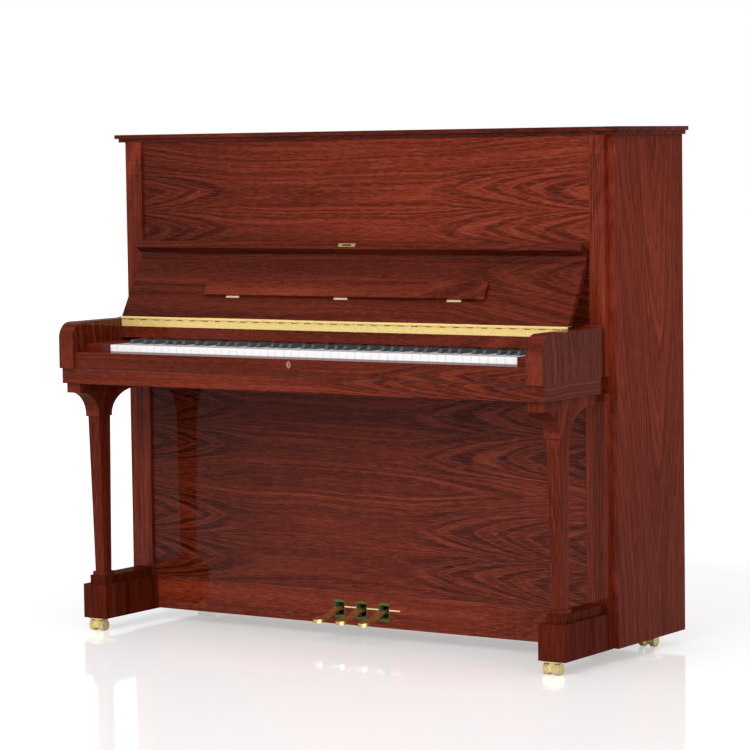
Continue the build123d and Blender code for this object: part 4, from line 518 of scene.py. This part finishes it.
# ---------------------------------------------------------------- added pieces
def mesh_piece(name, build, material, body):
    """A mesh made by build(bm), dressed and set on its body."""
    mesh = bpy.data.meshes.new(name)
    bm = bmesh.new()
    build(bm)
    bmesh.ops.recalc_face_normals(bm, faces=bm.faces)
    bm.to_mesh(mesh)
    bm.free()
    piece = bpy.data.objects.new(name, mesh)
    bpy.context.collection.objects.link(piece)
    mesh.materials.append(material)
    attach(piece, body)
    return piece


def add_box(bm, low, high, turn=None):
    """A box between two corners, then turned by a matrix if one is given."""
    size = [b - a for a, b in zip(low, high)]
    mid = [(a + b) / 2 for a, b in zip(low, high)]
    matrix = Matrix.Translation(mid) @ Matrix.Diagonal((size[0], size[1], size[2], 1))
    made = bmesh.ops.create_cube(bm, size=1.0, matrix=matrix)
    if turn is not None:
        bmesh.ops.transform(bm, matrix=turn, verts=made["verts"])


def add_disc(bm, centre, normal, radius, thickness):
    """A low round head standing on a surface, with a narrower top."""
    turn = Vector((0, 0, 1)).rotation_difference(Vector(normal)).to_matrix().to_4x4()
    matrix = Matrix.Translation(centre) @ turn @ Matrix.Translation((0, 0, thickness / 2))
    bmesh.ops.create_cone(bm, cap_ends=True, segments=14, radius1=radius,
                          radius2=radius * HINGE_SCREW_TOP_SHARE, depth=thickness, matrix=matrix)


def add_hinge_screws(brass):
    """A row of screw heads along the long hinge's rail leaf."""
    half = HINGE_HIGH[0] - HINGE_SCREW_MARGIN
    leaf_z = HINGE_LOW[2] + HINGE_SCREW_RISE
    front = leaf_front()

    def build(bm):
        count = int(2 * half / HINGE_SCREW_PITCH)
        for index in range(count + 1):
            x = -half + index * 2 * half / count
            add_disc(bm, (x, front, leaf_z), (0, -1, 0), HINGE_SCREW_RADIUS, HINGE_SCREW_HEIGHT)

    return mesh_piece("hinge_screws", build, brass, "case")


def add_hinge_gap_shadows(shade):
    """Dark boxes that paint the shadow in the openings between the long hinge's knuckles, seen above the
    rail leaf.
    """
    half = HINGE_HIGH[0] - HINGE_GAP_MARGIN
    front = leaf_front() - HINGE_GAP_PROUD
    top = HINGE_LOW[2] + HINGE_GAP_RISE

    def build(bm):
        count = int(2 * half / HINGE_GAP_PITCH)
        for index in range(count):
            x = -half + (index + 0.5) * 2 * half / count
            add_box(bm, (x - HINGE_GAP_LENGTH / 2, front, top - HINGE_GAP_HEIGHT),
                    (x + HINGE_GAP_LENGTH / 2, front + 2 * HINGE_GAP_PROUD, top))

    return mesh_piece("hinge_gap_shadows", build, shade, "case")


def add_slot_felts(green):
    """Rounded felt pads at the upper and lower end of each pedal slot."""
    pitch = (SLOT_HIGH[0] - SLOT_LOW[0] - 2 * SLOT_HALF) / 2
    face = PLINTH_LOW[1]

    def pad(bm, x, z, way):
        rim = []
        for index in range(FELT_FACETS + 1):
            turn = math.pi * index / FELT_FACETS
            rim.append((x + FELT_HALF * math.cos(turn), z + way * FELT_RISE * math.sin(turn)))
        front = [bm.verts.new((a, face - FELT_THICKNESS, b)) for a, b in rim]
        back = [bm.verts.new((a, face, b)) for a, b in rim]
        bm.faces.new(front)
        bm.faces.new(list(reversed(back)))
        for index in range(len(rim)):
            after = (index + 1) % len(rim)
            bm.faces.new((front[index], back[index], back[after], front[after]))

    def build(bm):
        for x in (-pitch, 0.0, pitch):
            pad(bm, x, SLOT_HIGH[2] - FELT_TOP_INSET, 1)
            pad(bm, x, SLOT_LOW[2] + FELT_FOOT_INSET, -1)

    return mesh_piece("slot_felts", build, green, "case")


def add_seam_shadows(shade):
    """Dark strips that paint the shadow in the joints under the keyslip and under the lower panel."""
    slip_low, slip_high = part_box("keyslip")
    panel_low, panel_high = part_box("lower_panel")

    def build(bm):
        for low, high in ((slip_low, slip_high), (panel_low, panel_high)):
            add_box(bm, (low[0] + SEAM_INSET, low[1] - SEAM_PROUD, low[2] - SEAM_HEIGHT / 2),
                    (high[0] - SEAM_INSET, low[1] + SEAM_INSET, low[2] + SEAM_HEIGHT / 2))

    return mesh_piece("joint_seam_shadows", build, shade, "case")


def leaf_front():
    """The front face of the hinge's fixed leaf: the foremost vertex well below its knuckles."""
    mesh = NODES["rail_hinge_leaf"].data
    low = HINGE_LOW[2] + LEAF_BELOW_KNUCKLES
    return min(vertex.co.y for vertex in mesh.vertices if vertex.co.z < low)


def board_frame():
    """Matrix whose X runs along the hinge, Y up the fallboard's inner face and Z out of it."""
    mesh = NODES["music_ledge"].data
    points = [vertex.co.copy() for vertex in mesh.vertices]
    bottom_back = min(points, key=lambda p: p.z)
    top_back = max(points, key=lambda p: p.y)
    up = Vector((0, top_back.y - bottom_back.y, top_back.z - bottom_back.z)).normalized()
    out = Vector((0, -up.z, up.y))
    origin = Vector((0, bottom_back.y, bottom_back.z))
    return Matrix(((1, 0, 0, 0),
                   (0, up.y, out.y, origin.y),
                   (0, up.z, out.z, origin.z),
                   (0, 0, 0, 1)))


def joint_place(name):
    """Where a joint's axis runs, from the record."""
    for joint in frame["record"]["behaviour"]["joints"]:
        if joint["name"] == name:
            return Vector(joint["pos_m"])
    raise KeyError(name)


def add_ledge_hinges(brass):
    """Three small hinges at the music ledge's lower edge: a leaf on the fallboard, a barrel on the axis.

    The leaves end just under the plane of the ledge's back, so that the opened ledge clears them.
    The barrels are let into the ledge's lower rear corner, at rest and at every pose.
    """
    turn = board_frame()
    axis = joint_place("music_ledge_swing")
    half = LEDGE_HINGE_WIDTH / 2
    depth = LEDGE_HINGE_WIDTH * LEDGE_BARREL_SHARE

    def build(bm):
        for x in (-LEDGE_HINGE_X, 0.0, LEDGE_HINGE_X):
            add_box(bm, (x - half, -LEDGE_LEAF_FOOT, -LEDGE_LEAF_SUNK),
                    (x + half, -LEDGE_LEAF_HEAD, -LEDGE_LEAF_CLEARANCE), turn)
            for shift in LEDGE_BARREL_SHIFTS:
                centre = Vector((x + shift * LEDGE_HINGE_WIDTH, axis.y, axis.z))
                matrix = Matrix.Translation(centre) @ Matrix.Rotation(math.radians(90), 4, "Y")
                bmesh.ops.create_cone(bm, cap_ends=True, segments=16, radius1=LEDGE_BARREL_RADIUS,
                                      radius2=LEDGE_BARREL_RADIUS, depth=depth, matrix=matrix)

    return mesh_piece("ledge_hinges", build, brass, "fallboard")


def add_pedal_inlay(brass):
    """Slim brass strips on the plinth rail beside and between the pedal slots."""
    pitch = (SLOT_HIGH[0] - SLOT_LOW[0] - 2 * SLOT_HALF) / 2
    z = middle(SLOT_LOW, SLOT_HIGH, "Z") + INLAY_RISE
    strips = ((-pitch + SLOT_HALF, -SLOT_HALF),
              (SLOT_HALF, pitch - SLOT_HALF),
              (pitch + SLOT_HALF, pitch + SLOT_HALF + INLAY_TAIL))

    def build(bm):
        for start, end in strips:
            add_box(bm, (start, PLINTH_LOW[1] - INLAY_DEPTH, z - INLAY_HEIGHT / 2),
                    (end, PLINTH_LOW[1], z + INLAY_HEIGHT / 2))

    return mesh_piece("pedal_inlay", build, brass, "case")


# ---------------------------------------------------------------- stage, lights, camera
def white_ground(name):
    """A floor that is white to the eye, keeps a soft shadow and mirrors the piano faintly."""
    g = Graph(name)
    tree = g.tree
    g.set(Base_Color=(FLOOR_GREY, FLOOR_GREY, FLOOR_GREY, 1), Roughness=0.9, Specular_IOR_Level=0.0)
    mirror = tree.nodes.new("ShaderNodeBsdfGlossy")
    mirror.inputs["Roughness"].default_value = FLOOR_MIRROR_ROUGHNESS
    mirror.inputs["Color"].default_value = (1, 1, 1, 1)
    veil = tree.nodes.new("ShaderNodeMixShader")
    veil.inputs[0].default_value = FLOOR_MIRROR
    tree.links.new(g.shader.outputs[0], veil.inputs[1])
    tree.links.new(mirror.outputs[0], veil.inputs[2])
    glow = tree.nodes.new("ShaderNodeEmission")
    path = tree.nodes.new("ShaderNodeLightPath")
    parts = g.split()
    squares = [g.math("MULTIPLY", part, part) for part in parts[:2]]
    away = g.math("SQRT", g.math("ADD", *squares))
    far_lift = g.between(away, FLOOR_LIFT_START, FLOOR_LIFT_END, 0.0, FLOOR_FAR_LIFT)
    lift = g.math("ADD", far_lift, FLOOR_LIFT)
    tree.links.new(g.math("MULTIPLY", path.outputs["Is Camera Ray"], lift), glow.inputs["Strength"])
    total = tree.nodes.new("ShaderNodeAddShader")
    tree.links.new(veil.outputs[0], total.inputs[0])
    tree.links.new(glow.outputs[0], total.inputs[1])
    tree.links.new(total.outputs[0], tree.nodes["Material Output"].inputs["Surface"])
    return g.material


def add_stage():
    """The floor that the casters stand on."""
    ground = CAD_BOX[0][2]
    mesh = bpy.data.meshes.new("floor")
    corners = [(-FLOOR_SIZE, -FLOOR_SIZE, ground), (FLOOR_SIZE, -FLOOR_SIZE, ground),
               (FLOOR_SIZE, FLOOR_SIZE, ground), (-FLOOR_SIZE, FLOOR_SIZE, ground)]
    mesh.from_pydata(corners, [], [(0, 1, 2, 3)])
    floor = bpy.data.objects.new("floor", mesh)
    bpy.context.collection.objects.link(floor)
    mesh.materials.append(white_ground("floor_white"))


def area_light(name, place, aim, width, height, power):
    """A soft lamp that polished surfaces don't mirror."""
    light = bpy.data.lights.new(name, "AREA")
    light.shape = "RECTANGLE"
    light.size = width
    light.size_y = height
    light.energy = power
    lamp = bpy.data.objects.new(name, light)
    lamp.location = place
    lamp.visible_glossy = False
    lamp.rotation_euler = (Vector(aim) - Vector(place)).to_track_quat("-Z", "Y").to_euler()
    bpy.context.collection.objects.link(lamp)


def add_lights():
    area_light("front_soft", place=(0.2, -4.6, 3.4), aim=(0.1, 0, 0.7), width=3.0, height=2.2, power=140)
    area_light("side_soft", place=(5.0, -1.0, 2.2), aim=(0.6, 0, 0.7), width=2.4, height=2.4, power=40)
    area_light("top_soft", place=(0.0, -0.9, 4.2), aim=(0, -0.2, 0.6), width=3.0, height=3.0, power=60)
    area_light("edge_soft", place=(5.4, -6.4, 2.3), aim=(0, 0, 0.7), width=1.6, height=1.6, power=55)


def set_world():
    """Even room light, white to the eye, dimmer where polished surfaces mirror it."""
    world = bpy.data.worlds.new("studio")
    bpy.context.scene.world = world
    world.use_nodes = True
    tree = world.node_tree
    tree.nodes.clear()
    out = tree.nodes.new("ShaderNodeOutputWorld")
    path = tree.nodes.new("ShaderNodeLightPath")

    def shade(strength):
        node = tree.nodes.new("ShaderNodeBackground")
        node.inputs[0].default_value = (1, 1, 1, 1)
        node.inputs[1].default_value = strength
        return node.outputs[0]

    def shade_by_way():
        """Brighter from the front right, where the windows of the room would be."""
        coords = tree.nodes.new("ShaderNodeTexCoord")
        aim = tree.nodes.new("ShaderNodeVectorMath")
        aim.operation = "DOT_PRODUCT"
        tree.links.new(coords.outputs["Generated"], aim.inputs[0])
        aim.inputs[1].default_value = Vector(BRIGHT_WAY).normalized()
        spread = tree.nodes.new("ShaderNodeMapRange")
        spread.interpolation_type = "SMOOTHSTEP"
        tree.links.new(aim.outputs["Value"], spread.inputs[0])
        ends = (WINDOW_EDGE, WINDOW_CORE, ROOM_MIRRORED, WINDOW_MIRRORED)
        for socket, number in zip(list(spread.inputs)[1:5], ends):
            socket.default_value = number
        node = tree.nodes.new("ShaderNodeBackground")
        node.inputs[0].default_value = (1, 1, 1, 1)
        tree.links.new(spread.outputs[0], node.inputs[1])
        return node.outputs[0]

    def choose(ray, otherwise, seen):
        node = tree.nodes.new("ShaderNodeMixShader")
        tree.links.new(path.outputs[ray], node.inputs[0])
        tree.links.new(otherwise, node.inputs[1])
        tree.links.new(seen, node.inputs[2])
        return node.outputs[0]

    mirrored = choose("Is Glossy Ray", shade(ROOM_LIGHT), shade_by_way())
    tree.links.new(choose("Is Camera Ray", mirrored, shade(BACKDROP)), out.inputs[0])


CAMERA_PLACE = (4.2893, -6.3505, 1.2537)
CAMERA_HEADING = 0.59
CAMERA_PITCH = -0.075
CAMERA_ROLL = -0.014
CAMERA_LENS = 144.4
CAMERA_SENSOR = 36.0
CAMERA_REACH = 100.0


def add_camera():
    """The photograph's view."""
    data = bpy.data.cameras.new("view")
    data.lens = CAMERA_LENS
    data.sensor_width = CAMERA_SENSOR
    data.clip_end = CAMERA_REACH
    camera = bpy.data.objects.new("view", data)
    heading = Matrix.Rotation(CAMERA_HEADING, 4, "Z")
    pitch = Matrix.Rotation(math.pi / 2 + CAMERA_PITCH, 4, "X")
    roll = Matrix.Rotation(CAMERA_ROLL, 4, "Z")
    camera.matrix_world = Matrix.Translation(CAMERA_PLACE) @ heading @ pitch @ roll
    bpy.context.collection.objects.link(camera)
    bpy.context.scene.camera = camera


# ---------------------------------------------------------------- build
looks = dress_case()
looks.update(dress_rest())
for node, material in looks.items():
    NODES[node].data.materials.clear()
    NODES[node].data.materials.append(material)

for node in ("left_side", "right_side", "left_pilaster", "right_pilaster", "left_arm", "right_arm",
             "left_leg", "right_leg", "left_toe", "right_toe", "front_lid", "rear_lid", "upper_panel",
             "lower_panel", "plinth_rail", "keybed", "keyslip", "key_blocks", "fallboard", "music_ledge"):
    soften(node)
for node in ("keyslip", "keybed"):
    NODES[node].modifiers["edge_round"].width = FRONT_RAIL_ROUND
for half in ("odd", "even"):
    soften("white_keys_" + half, WHITE_KEY_ROUND)
    soften("black_keys_" + half, BLACK_KEY_ROUND)

# hinge_shade is a dark colour that paints the shadow between the long hinge's knuckles.
hinge_shade = metal("hinge_shade", (0.16, 0.09, 0.03, 1), 0.5)
trim = metal("brass_trim", (1.0, 0.80, 0.48, 1), 0.15, lacquer=0.6)
add_hinge_screws(trim)
add_ledge_hinges(trim)
add_pedal_inlay(trim)
add_hinge_gap_shadows(hinge_shade)
# joint_shade paints the shadow in the joints under the keyslip and the lower panel.
add_seam_shadows(plain_wood("joint_shade", (0.030, 0.005, 0.002, 1), (0.018, 0.003, 0.001, 1), "X"))
add_slot_felts(felt("felt_slot_pads", (0.085, 0.130, 0.010, 1), (0.020, 0.045, 0.004, 1)))

add_stage()
add_lights()
set_world()
add_camera()
bpy.context.scene.view_settings.view_transform = "Standard"
